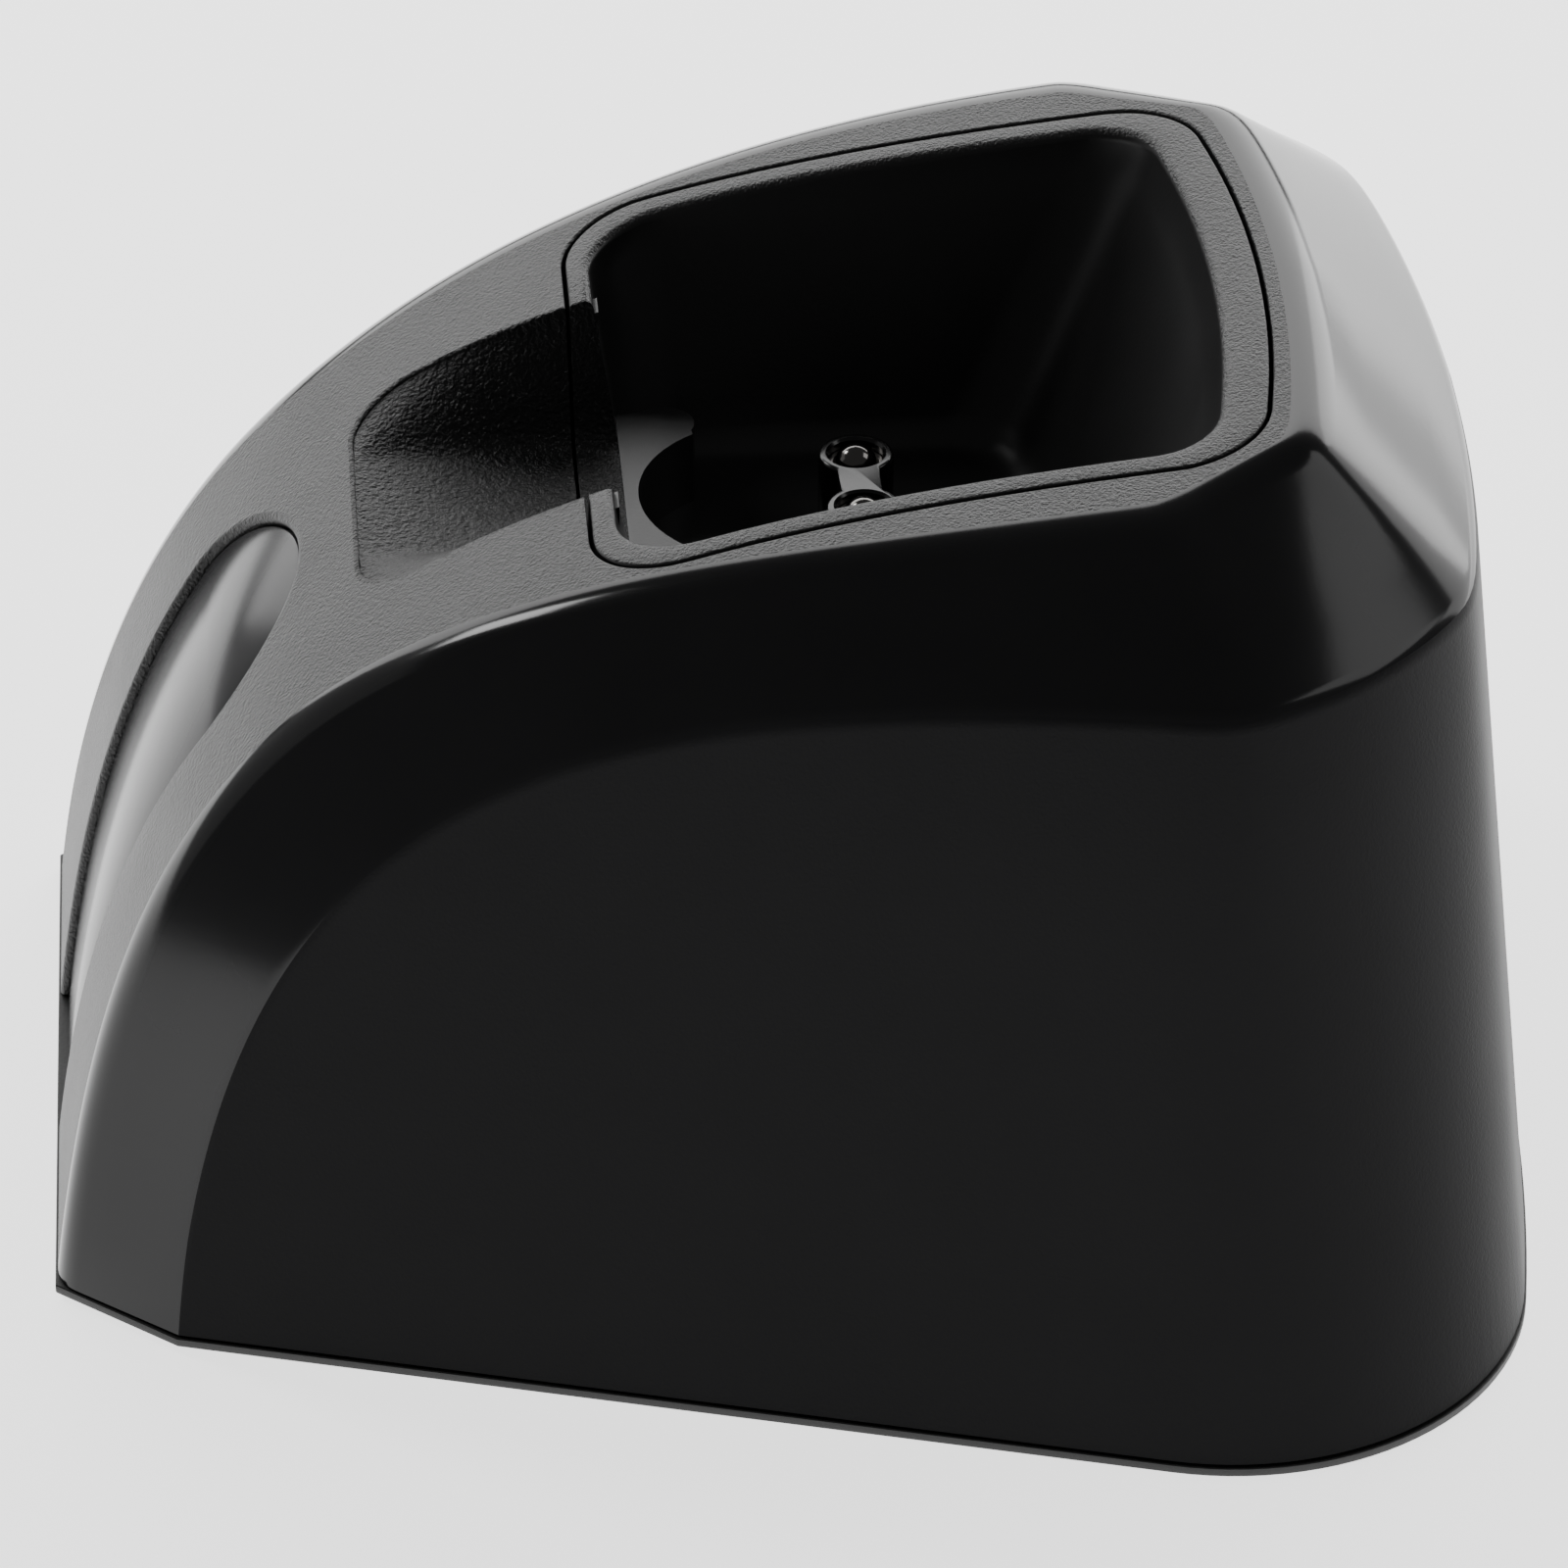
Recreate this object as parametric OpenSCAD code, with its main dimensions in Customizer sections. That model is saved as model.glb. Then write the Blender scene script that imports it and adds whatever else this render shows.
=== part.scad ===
// Weighted desktop charging stand for a cordless handheld.
// X runs across the stand, -Y is its front, +Z is up. The feet stand on z = 0.

/* [Body] */
// Length at the foot, front to rear
body_long = 139; // [125:1:180]
// Width at the foot, at its widest
body_wide = 141; // [128:1:180]
// Height of the highest edge, behind the well
body_high = 85; // [78:1:110]
// Thickness of the housing wall
wall_t = 2.6; // [2.2:0.1:3.2]
// Angle by which each side opens out towards the rear, in degrees
side_taper = 15.8; // [11:0.2:18]
// Radius of the rear corners at the foot
foot_corner_r = 28.2; // [22:0.2:32]
// Width of the straight front edge
nose_wide = 71; // [60:0.5:76]
// Distance that each front chamfer runs back
chamfer_back = 11.1; // [8:0.1:14]

/* [Crest] */
// Width across the crest, where the side walls meet the bevels
crest_wide = 115.4; // [108:0.2:120]
// Radius of the rear corners of the crest
crest_corner_r = 23.7; // [20:0.1:26]
// Distance of the crest in front of the rear of the foot
crest_set_in = 7.5; // [5:0.1:10]
// Depth of the crest below the highest edge
crest_drop = 12.7; // [10:0.1:15]
// Lean of the crest line where it leaves the foot
crest_lean = 6.1; // [4:0.1:9]
// Depth below the top at which the crest line starts to bend
crest_bend_drop = 28; // [24:0.5:32]
// Distance behind the chamfer at which the crest line has bent over
crest_brow_back = 36.4; // [32:0.2:40]
// Depth below the top at which the crest line has bent over
crest_brow_drop = 15.9; // [14:0.1:18]

/* [Grained band] */
// Width of the band at its waist
band_waist = 58.6; // [54:0.2:62]
// Width of the band across the ledge behind the well
ledge_wide = 80; // [76:0.2:84]
// Radius of the rear corners of the ledge
ledge_corner_r = 11.5; // [9:0.1:14]
// Distance of the ledge in front of the rear of the foot
ledge_set_in = 22; // [19:0.1:25]
// Rise of the ledge towards the rear, in degrees
ledge_rise = 8.45; // [5:0.05:10]
// Lean of the band where it leaves the foot
nose_lean = 7.6; // [5:0.1:10]
// Depth below the top at which the front face starts to bend
nose_bend_drop = 25.7; // [22:0.1:30]
// Distance behind the front at which the band has bent over
brow_back = 33.7; // [30:0.1:38]
// Depth below the top at which the band has bent over
brow_drop = 9; // [7:0.1:12]

/* [Well] */
// Width of the liner's lip
lip_wide = 64.8; // [60:0.2:66]
// Length of the liner's lip, front to rear
lip_long = 61.8; // [58:0.2:64]
// Distance from the rear of the lip to the rear of the ledge
lip_margin = 4; // [3:0.1:6]
// Radius of the lip's front corners
lip_front_r = 8; // [6:0.1:9]
// Radius of the lip's rear corners
lip_rear_r = 9; // [7:0.1:10]
// Groove between the lip and the housing
lip_gap = 0.35; // [0.2:0.05:0.6]
// Width of the lip's face at the sides
lip_side = 3.1; // [2.6:0.1:3.6]
// Width of the lip's face at the front
lip_front = 2.3; // [2:0.1:3]
// Width of the lip's face at the rear
lip_rear = 4.3; // [3:0.1:5]
// Rounding of the inner edge of the lip
rim_drop = 1; // [0.6:0.1:1.5]
// Depth of the floor below the highest edge
well_depth = 30; // [26:0.5:34]
// Width of the floor
floor_wide = 40; // [34:0.5:44]
// Slope of the front wall, as its run
front_run = 3; // [2:0.5:6]
// Slope of the rear wall, as its run
rear_run = 14.2; // [10:0.2:16]
// Thickness of the liner
liner_t = 2; // [1.6:0.1:2.4]
// Radius of the round space that the ledge in the well leaves
crescent_r = 13; // [11:0.5:14]
// Width of the ledge in the well
crescent_wide = 24; // [20:0.5:28]

/* [Trough] */
// Distance of the trough's front edge behind the front of the foot
trough_set_in = 30.6; // [28:0.1:33]
// Width of the trough at its top
trough_wide = 33.6; // [30:0.2:36]
// Width of the trough's floor
trough_floor_wide = 18; // [14:0.5:20]
// Radius of the trough's front corners
trough_corner_r = 6; // [4:0.5:7]
// Wall of the housing under the trough
trough_wall = 2; // [1.6:0.1:2.4]

/* [Badge] */
// Width of the blank badge at its widest
badge_wide = 29; // [24:0.5:32]
// Width of the blank badge at the foot
badge_foot_wide = 20.6; // [18:0.2:24]
// Height at which the badge is widest
badge_shoulder = 48; // [40:0.5:52]
// Height of the badge's rounded end
badge_crown = 10; // [8:0.5:12]
// Depth of the badge's face below the surface
badge_drop = 0.8; // [0.4:0.1:1]
// Thickness of the badge
badge_t = 0.8; // [0.6:0.1:1]
// Gap round the badge
badge_gap = 0.15; // [0.1:0.05:0.3]

/* [Contacts] */
// Distance between the two charging contacts
contact_pitch = 9.4; // [9:0.1:11]
// Distance of the contacts behind the middle of the stand
contact_y = 7.5; // [5:0.5:9]
// Height of the contact tips above the floor of the well
tip_rise = 9; // [8.5:0.1:11]
// Height of the contact boss above the floor of the well
boss_rise = 8.3; // [7.5:0.1:9]
// Radius of each lobe of the contact boss
boss_r = 3.5; // [3.2:0.1:4]
// Width of the web between the lobes
boss_web = 4; // [3:0.5:5]
// Radius of a contact pin
pin_r = 2; // [1.6:0.05:2.1]
// Radius of a pin's collar
collar_r = 2.3; // [2.2:0.05:2.35]
// Length of a pin's collar
collar_long = 1.4; // [1:0.1:2]
// Outer radius of a contact barrel
barrel_r = 2.6; // [2.55:0.05:2.8]
// Travel of a contact pin
pin_travel = 1.5; // [1:0.1:2]
// Radial running clearance of a pin in its barrel
pin_fit = 0.05; // [0.03:0.01:0.08]
// Thickness of the spring wire
spring_wire = 0.3; // [0.25:0.05:0.35]
// Number of turns in a contact spring
spring_turns = 6; // [4:1:7]

/* [Base] */
// Thickness of the base plate's visible edge
plate_edge = 1; // [0.8:0.1:1.6]
// Thickness of the base plate's raised middle
plate_step = 1.5; // [1:0.1:2.5]
// Seam between the base plate and the housing
seam = 0.2; // [0.1:0.05:0.4]
// Height that the rubber feet stand out below the base plate
foot_drop = 0.5; // [0.3:0.1:1]
// Radius of a rubber foot
foot_r = 6; // [5:0.5:7]
// Thickness of a rubber foot
foot_t = 1.6; // [1.2:0.1:2]
// Thickness of the steel ballast
ballast_t = 5; // [3:0.5:8]
// Distance of the ballast inside the edge of the foot
ballast_inset = 9; // [8:0.5:14]

/* [Power inlet] */
// Height of the power inlet's centre
jack_z = 14; // [12:0.5:18]
// Radius of the inlet's centre pin
jack_pin_r = 1; // [0.65:0.05:1.25]
// Radius of the plug barrel that the inlet takes
plug_r = 2.75; // [2.4:0.05:2.75]
// Depth of the inlet's bore
jack_bore_deep = 9.5; // [8:0.5:10]
// Width of the inlet's block
jack_wide = 10; // [9:0.5:12]
// Length of the inlet's block
jack_long = 13; // [12:0.5:15]
// Radius of the round recess in the rear wall
jack_pad_r = 6.5; // [5.5:0.5:8]
// Radius of a lead
lead_r = 0.8; // [0.6:0.1:1]

/* [Hidden] */
$fn = 64;

// Steps along the outlines
fall_steps = 8;
rise_steps = 12;
corner_steps = 8;
crown_steps = 4;
// Turn of each crowned rear edge, from its middle to its corner
crown_turn = 10;
// Over-length that lets a cut pass through a face
over = 1;
// Height above everything that a cut from the top reaches
sky = body_high + 15;

// Share of an inset by which each edge line of the body moves sideways or down
band_share = 0.4;
crest_share = 0.95;
crest_down_share = 0.5;

// Main stations of the body
front_y = -body_long / 2;
rear_y = body_long / 2;
chamfer_y = front_y + chamfer_back;
crest_z = body_high - crest_drop;
taper_run = tan(side_taper);
taper_stretch = 1 / cos(side_taper);
ledge_rear_y = rear_y - ledge_set_in;
crest_rear_y = rear_y - crest_set_in;

// Centre of the rear corner of an outline whose crowned rear edge ends at rear
function corner_centre(half, r, rear) =
  let (x = half - r)
  [x, rear - r * cos(crown_turn) - tan(crown_turn / 2) * (x + r * sin(crown_turn))];

// Rear corner and crowned rear edge of an outline, from the side to the mirror plane
function rear_path(half, r, rear, taper, inset = 0) =
  let (
    c = corner_centre(half, r, rear),
    rr = r - inset,
    crown_r = (c[0] + rr * sin(crown_turn)) / sin(crown_turn),
    crown_y = c[1] + rr * cos(crown_turn) - crown_r * cos(crown_turn)
  )
  concat(
    [for (i = [0:corner_steps])
      let (a = -taper + (90 - crown_turn + taper) * i / corner_steps)
      [c[0] + rr * cos(a), c[1] + rr * sin(a)]],
    [for (i = [crown_steps - 1:-1:0])
      let (a = crown_turn * i / crown_steps)
      [crown_r * sin(a), crown_y + crown_r * cos(a)]]
  );

foot_centre = corner_centre(body_wide / 2, foot_corner_r, rear_y);
crest_centre = corner_centre(crest_wide / 2, crest_corner_r, crest_rear_y);
ledge_centre = corner_centre(ledge_wide / 2, ledge_corner_r, ledge_rear_y);

// Half-width at which the tapered side of an outline meets the X axis
function side_reach(centre, r) = centre[0] + r * taper_stretch - taper_run * centre[1];
foot_reach = side_reach(foot_centre, foot_corner_r);
crest_reach = side_reach(crest_centre, crest_corner_r);
// The drafted side wall
function side_x(y, z) =
  foot_reach + taper_run * y - (foot_reach - crest_reach) * z / crest_z;

// A cubic curve and its direction
function curve(t, p) =
  pow(1 - t, 3) * p[0] + 3 * pow(1 - t, 2) * t * p[1]
  + 3 * (1 - t) * t * t * p[2] + pow(t, 3) * p[3];
function curve_way(t, p) =
  pow(1 - t, 2) * (p[1] - p[0]) + 2 * (1 - t) * t * (p[2] - p[1]) + t * t * (p[3] - p[2]);
function unit(v) = v / norm(v);
// A point of a profile moved inwards by an inset
function inset_point(t, p, inset) =
  let (w = unit(curve_way(t, p)))
  curve(t, p) + inset * [w[1], -w[0]];

// Profiles of the band and of the crest line, as Y and Z
ledge_slope = tan(ledge_rise);
ledge_start_z = body_high - ledge_slope * (ledge_rear_y - ledge_centre[1]);
band_profile = [
  [front_y, 0],
  [front_y + nose_lean, body_high - nose_bend_drop],
  [front_y + brow_back, body_high - brow_drop],
  [ledge_centre[1], ledge_start_z]
];
crest_start_y = crest_centre[1] - crest_corner_r * sin(side_taper);
crest_profile = [
  [chamfer_y, 0],
  [chamfer_y + crest_lean, body_high - crest_bend_drop],
  [chamfer_y + crest_brow_back, body_high - crest_brow_drop],
  [crest_start_y, crest_z]
];

// Width of the band along its profile: it draws in to the waist and opens again
waist_at = 0.42;
fall_place = [0, 0.1, 0.16, waist_at];
fall_width = [nose_wide, nose_wide, band_waist, band_waist] / 2;
rise_place = [waist_at, 0.6, 0.8, 1];
rise_width = [band_waist, band_waist, ledge_wide, ledge_wide] / 2;
arch_stations = concat(
  [for (i = [0:fall_steps]) [curve(i / fall_steps, fall_place), curve(i / fall_steps, fall_width)]],
  [for (i = [1:rise_steps]) [curve(i / rise_steps, rise_place), curve(i / rise_steps, rise_width)]]
);

// Place on the band's profile at a given Y, and the height of its surface there
function band_place(y, low = 0, high = 1, left = 24) =
  let (mid = (low + high) / 2)
  left == 0 ? mid
  : curve(mid, band_profile)[0] < y ? band_place(y, mid, high, left - 1)
  : band_place(y, low, mid, left - 1);
function ledge_z(y) = ledge_start_z + ledge_slope * (y - ledge_centre[1]);
function skin_z(y) = y > ledge_centre[1] ? ledge_z(y) : curve(band_place(y), band_profile)[1];

// Three lines round the body, right half, from the front to the mirror plane at the rear
function tail(path) = [for (i = [1:len(path) - 1]) path[i]];
function band_line(inset, foot_z) = concat(
  [for (s = arch_stations)
    let (p = inset_point(s[0], band_profile, inset))
    [s[1] - band_share * inset, p[0], s[0] == 0 ? foot_z : p[1]]],
  [for (p = tail(rear_path(ledge_wide / 2, ledge_corner_r, ledge_rear_y, 0, band_share * inset)))
    [p[0], p[1], ledge_z(p[1]) - inset]]
);
function crest_line(inset, foot_z) = concat(
  [for (s = arch_stations)
    let (p = inset_point(s[0], crest_profile, crest_down_share * inset))
    [side_x(p[0], p[1]) - inset, p[0], s[0] == 0 ? foot_z : p[1]]],
  [for (p = tail(rear_path(crest_wide / 2, crest_corner_r, crest_rear_y, side_taper,
                           crest_share * inset)))
    [p[0], p[1], crest_z - crest_down_share * inset]]
);
foot_start_y = foot_centre[1] - foot_corner_r * sin(side_taper);
function foot_line(inset, foot_z) = concat(
  [for (s = arch_stations)
    let (
      done = (curve(s[0], crest_profile)[0] - chamfer_y) / (crest_start_y - chamfer_y),
      y = chamfer_y + crest_down_share * inset * (1 - done) + done * (foot_start_y - chamfer_y)
    )
    [side_x(y, 0) - inset * taper_stretch, y, foot_z]],
  [for (p = tail(rear_path(body_wide / 2, foot_corner_r, rear_y, side_taper, inset)))
    [p[0], p[1], foot_z]]
);
function both_sides(right) =
  concat(right, [for (i = [len(right) - 2:-1:0]) [-right[i][0], right[i][1], right[i][2]]]);

// The whole outer form, drawn in by an inset, as one closed solid
module body_form(inset = 0) {
  foot_z = inset > 0 ? -over : 0;
  band = both_sides(band_line(inset, foot_z));
  crest = both_sides(crest_line(inset, foot_z));
  foot = both_sides(foot_line(inset, foot_z));
  m = len(band);
  half = (m - 1) / 2;
  // The crest line starts on the foot, so its two ends serve for both lines
  function foot_index(i) = i == 0 || i == m - 1 ? m + i : 2 * m + i - 1;
  polyhedron(
    points = concat(band, crest, [for (i = [1:m - 2]) foot[i]]),
    faces = concat(
      [for (i = [0:half - 2]) [m - 1 - i, m - 2 - i, i + 1, i]],
      [[half + 1, half, half - 1]],
      [for (i = [0:m - 2]) each [[i, i + 1, m + i + 1], [i, m + i + 1, m + i]]],
      [for (i = [1:m - 3]) each [
        [m + i, m + i + 1, foot_index(i + 1)], [m + i, foot_index(i + 1), foot_index(i)]]],
      [[m, m + 1, foot_index(1)], [2 * m - 2, 2 * m - 1, foot_index(m - 2)]],
      [concat([0], [for (i = [0:m - 1]) foot_index(i)], [m - 1])]
    ),
    convexity = 4
  );
}

// A closed solid through a stack of rings that all have as many points
module ring_stack(rings) {
  n = len(rings);
  k = len(rings[0]);
  polyhedron(
    points = [for (ring = rings) each ring],
    faces = concat(
      [[for (i = [0:k - 1]) i]],
      [[for (i = [k - 1:-1:0]) (n - 1) * k + i]],
      [for (j = [0:n - 2]) for (i = [0:k - 1])
        let (a = j * k + i, b = j * k + (i + 1) % k)
        each [[a + k, b + k, b], [a + k, b, a]]]
    ),
    convexity = 6
  );
}

// Closed outline from its right half
function mirrored(half) =
  concat(half, [for (i = [len(half) - 1:-1:0]) if (half[i][0] > 0) [-half[i][0], half[i][1]]]);
function at_height(outline, z) = [for (p = outline) [p[0], p[1], z]];
function on_skin(outline, lift) = [for (p = outline) [p[0], p[1], skin_z(p[1]) + lift]];

// Outline of the well: straight front, straight sides, crowned rear
function well_outline(half, front, rear, front_r, rear_r, grow = 0) = mirrored(concat(
  [for (i = [0:corner_steps])
    let (a = -90 * (1 - i / corner_steps))
    [half - front_r + (front_r + grow) * cos(a), front + front_r + (front_r + grow) * sin(a)]],
  rear_path(half, rear_r, rear, 0, -grow)
));
lip_rear_y = ledge_rear_y - lip_margin;
lip_front_y = lip_rear_y - lip_long;
rim_half = lip_wide / 2 - lip_side;
rim_front_y = lip_front_y + lip_front;
rim_rear_y = lip_rear_y - lip_rear;
floor_z = body_high - well_depth;
function lip_outline(grow = 0) =
  well_outline(lip_wide / 2, lip_front_y, lip_rear_y, lip_front_r, lip_rear_r, grow);
function rim_outline(grow = 0) =
  well_outline(rim_half, rim_front_y, rim_rear_y, lip_front_r - 1, lip_rear_r - lip_front, grow);
function floor_outline(grow = 0) =
  well_outline(floor_wide / 2, rim_front_y + front_run, rim_rear_y - rear_run,
               lip_front_r - lip_front, lip_front_r, grow);

// The open space of the well
module well_form() {
  ring_stack([
    at_height(floor_outline(), floor_z),
    on_skin(rim_outline(), -rim_drop),
    on_skin(rim_outline(rim_drop), lip_gap),
    at_height(rim_outline(rim_drop), sky)
  ]);
}

// The open space of the trough, or its outer form when grown
trough_y = front_y + trough_set_in;
trough_z = skin_z(trough_y) - lip_gap;
trough_end_y = rim_front_y + front_run + over;
function trough_outline(half, r, grow) =
  let (front = trough_y - grow)
  mirrored(concat(
    [for (i = [0:corner_steps])
      let (a = -90 * (1 - i / corner_steps))
      [half + grow - r + r * cos(a), front + r + r * sin(a)]],
    [[half + grow, trough_end_y]]
  ));
module trough_form(grow = 0) {
  top = trough_outline(trough_wide / 2, trough_corner_r, grow);
  ring_stack([
    at_height(trough_outline(trough_floor_wide / 2, trough_corner_r / 2, grow), trough_z - grow),
    on_skin(top, 0),
    at_height(top, sky)
  ]);
}

// Outline of the badge, looking at the front of the stand, as X and Z
function badge_outline(grow) = mirrored(concat(
  [[badge_foot_wide / 2 + grow, -over]],
  [for (i = [0:2 * corner_steps])
    let (a = 90 * i / (2 * corner_steps))
    [(badge_wide / 2 + grow) * cos(a), badge_shoulder + (badge_crown + grow) * sin(a)]]
));
module badge_form(grow = 0) {
  translate([0, trough_y, 0]) rotate([90, 0, 0])
    linear_extrude(trough_set_in + over) polygon(badge_outline(grow));
}

// Base and fasteners
plate_z = foot_drop;
step_z = plate_z + plate_edge;
plate_top = step_z + plate_step;
housing_z = step_z + seam;
step_clearance = 0.3;
screw_fit = 0.05;
screw_r = 1.4;
screw_head_r = 2.8;
screw_head_h = 1.7;
screw_boss_r = 4;
screw_bite = 9;
base_screw_inset = 13;
base_screw_back = 22;
front_screw_y = chamfer_y + base_screw_back;
base_screw_places = [
  [side_x(front_screw_y, 0) - base_screw_inset, front_screw_y],
  [body_wide / 2 - base_screw_inset, foot_centre[1]]
];
base_boss_top = crest_z - 20;
head_floor_z = plate_z + screw_head_h + over / 5;

foot_front_in = 13;
foot_rear_in = 15;
foot_places = [
  [nose_wide / 2 - foot_front_in / 1.5, front_y + foot_front_in],
  [foot_centre[0], rear_y - foot_rear_in]
];
post_r = 3.5;
post_gap = 0.3;
post_places = [[band_waist / 2 - 4, front_screw_y - 2], [band_waist / 2 + 4, ledge_centre[1]]];
ballast_z = plate_top;
washer_head_r = 5;
jack_room = 13;
jack_room_y = rear_y - 23;

small_r = 1.1;
small_head_r = 2.2;
small_head_h = 1.5;
tab_t = 2;
tab_z = crest_z - 4.3;
tab_r = 4;
tab_boss_r = 3;
liner_screw_bite = 4;
tab_x = lip_wide / 2 + 4.6;
tab_places = [[tab_x, lip_front_y + 13], [tab_x, lip_rear_y - 15]];

module at_both(places) {
  for (p = places) for (side = [-1, 1]) translate([side * p[0], p[1], 0]) children();
}
// A screw that points up, with its head's underside at z = 0
slot_wide = 0.6;
module screw(r, long, head_r, head_h) {
  difference() {
    union() {
      cylinder(r = r, h = long - r);
      translate([0, 0, long - r]) cylinder(r1 = r, r2 = r / 3, h = r);
      translate([0, 0, -head_h]) cylinder(r = head_r, h = head_h);
    }
    for (turn = [0, 90]) rotate(turn)
      translate([-head_r * 0.6, -slot_wide / 2, -head_h - over])
        cube([head_r * 1.2, slot_wide, over + head_h / 2]);
  }
}

// Rear power inlet
rear_wall_y = rear_y - crest_set_in * jack_z / crest_z;
jack_face_y = rear_wall_y - 1.15;
jack_block_gap = 1.2;
jack_block_y = rear_wall_y - wall_t - jack_block_gap;
jack_nose_r = plug_r + 1.25;
jack_back_y = jack_block_y - jack_long;
jack_fit = 0.25;
jack_root_r = jack_pin_r + 0.2;
plug_fit = 0.1;
module along_y(y) {
  translate([0, y, jack_z]) rotate([-90, 0, 0]) children();
}

module upper_housing() {
  color("#1c1c1e")
  difference() {
    union() {
      difference() {
        body_form();
        body_form(wall_t);
      }
      intersection() {
        body_form(wall_t / 2);
        union() {
          trough_form(trough_wall);
          at_both(base_screw_places)
            translate([0, 0, housing_z + plate_step])
              cylinder(r = screw_boss_r, h = base_boss_top - housing_z - plate_step);
          at_both(tab_places)
            translate([0, 0, tab_z + tab_t]) cylinder(r = tab_boss_r, h = sky - tab_z);
        }
      }
    }
    translate([-body_wide, -body_long, -body_high + housing_z])
      cube([2 * body_wide, 2 * body_long, body_high]);
    trough_form();
    difference() {
      badge_form(badge_gap);
      body_form(badge_drop + badge_t);
    }
    translate([0, 0, trough_z - over - trough_wall])
      linear_extrude(sky - trough_z) polygon(lip_outline(lip_gap));
    at_both(base_screw_places) cylinder(r = screw_r + screw_fit, h = plate_top + screw_bite + over);
    at_both(tab_places)
      translate([0, 0, tab_z]) cylinder(r = small_r + screw_fit, h = tab_t + liner_screw_bite);
    along_y(jack_face_y) cylinder(r = jack_pad_r, h = jack_pad_r);
    along_y(jack_back_y) cylinder(r = jack_nose_r + jack_fit, h = body_long);
  }
}

// The contact carrier's lobes and web, as a plan
module carrier_plan(grow) {
  for (side = [-1, 1]) translate([side * contact_pitch / 2, contact_y]) circle(boss_r + grow);
  translate([-contact_pitch / 2, contact_y - boss_web / 2 - grow])
    square([contact_pitch, boss_web + 2 * grow]);
}
floor_under_z = floor_z - liner_t;
carrier_t = 2;
board_t = 1.6;
board_z = floor_under_z - carrier_t - board_t;
board_top = board_z + board_t;
board_screw_x = 17;
board_post_r = 2.6;
carrier_fit = 0.15;

module well_liner() {
  color("#0e0e10")
  difference() {
    union() {
      difference() {
        intersection() {
          body_form();
          ring_stack([
            at_height(floor_outline(liner_t), floor_under_z),
            on_skin(lip_outline(), -wall_t - liner_t),
            at_height(lip_outline(), sky)
          ]);
        }
        well_form();
        trough_form();
      }
      difference() {
        translate([-crescent_wide / 2, rim_front_y, floor_under_z])
          cube([crescent_wide, -rim_front_y, trough_z - floor_under_z]);
        translate([0, 0, floor_z]) cylinder(r = crescent_r, h = well_depth);
        translate([-crescent_wide, -crescent_r / 3, floor_z])
          cube([2 * crescent_wide, crescent_wide, well_depth]);
      }
      difference() {
        at_both(tab_places) {
          translate([0, 0, tab_z]) cylinder(r = tab_r, h = tab_t);
        }
        well_form();
      }
      difference() {
        for (side = [0, 180], p = tab_places)
          translate([0, p[1], 0]) rotate(side)
            translate([floor_wide / 2, -tab_r, tab_z]) cube([tab_x - floor_wide / 2, 2 * tab_r, tab_t]);
        well_form();
      }
      for (side = [-1, 1])
        translate([side * board_screw_x, contact_y, board_top])
          cylinder(r = board_post_r, h = floor_z - over / 2 - board_top);
    }
    translate([0, 0, floor_under_z - over]) linear_extrude(liner_t + 2 * over) carrier_plan(carrier_fit);
    at_both(tab_places) translate([0, 0, tab_z - over]) cylinder(r = small_r + post_gap, h = tab_t + 2 * over);
    for (side = [-1, 1])
      translate([side * board_screw_x, contact_y, board_top - over])
        cylinder(r = small_r + screw_fit, h = carrier_t + over + liner_t * 0.6);
  }
}

module badge_plate() {
  color("#9a9a9c")
  intersection() {
    badge_form();
    translate([-badge_wide, front_y, housing_z]) cube([2 * badge_wide, trough_set_in, body_high]);
    difference() {
      body_form(badge_drop);
      body_form(badge_drop + badge_t);
    }
  }
}

carrier_wide = 26;
carrier_long = 12;
tip_z = floor_z + tip_rise;
boss_top = floor_z + boss_rise;
shoulder_z = boss_top - 1.6;
barrel_top = boss_top - 1;
module carrier_holes(r) {
  for (side = [-1, 1])
    translate([side * contact_pitch / 2, contact_y, board_z]) cylinder(r = r, h = body_high);
}
module contact_carrier() {
  color("#17171a")
  difference() {
    union() {
      translate([0, 0, board_top]) linear_extrude(boss_top - board_top) carrier_plan(0);
      translate([-carrier_wide / 2, contact_y - carrier_long / 2, board_top])
        cube([carrier_wide, carrier_long, carrier_t]);
    }
    carrier_holes(barrel_r);
  }
}

module contact_barrel(side) {
  color("#b58a3a")
  translate([side * contact_pitch / 2, contact_y, 0])
  difference() {
    translate([0, 0, board_top]) cylinder(r = barrel_r, h = barrel_top - board_top);
    translate([0, 0, board_top - over]) cylinder(r = collar_r + pin_fit, h = shoulder_z - board_top + over);
    cylinder(r = pin_r + pin_fit, h = body_high);
  }
}
module contact_barrel_left() contact_barrel(-1);
module contact_barrel_right() contact_barrel(1);

stop_gap = 0.05;
collar_z = shoulder_z - stop_gap - collar_long;
module contact_pin(side) {
  color("#d9c48a")
  translate([side * contact_pitch / 2, contact_y, 0]) {
    translate([0, 0, collar_z]) cylinder(r = collar_r, h = collar_long);
    translate([0, 0, collar_z]) cylinder(r = pin_r, h = tip_z - pin_r - collar_z);
    translate([0, 0, tip_z - pin_r]) sphere(pin_r);
  }
}
module contact_pin_left() contact_pin(-1);
module contact_pin_right() contact_pin(1);

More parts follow.
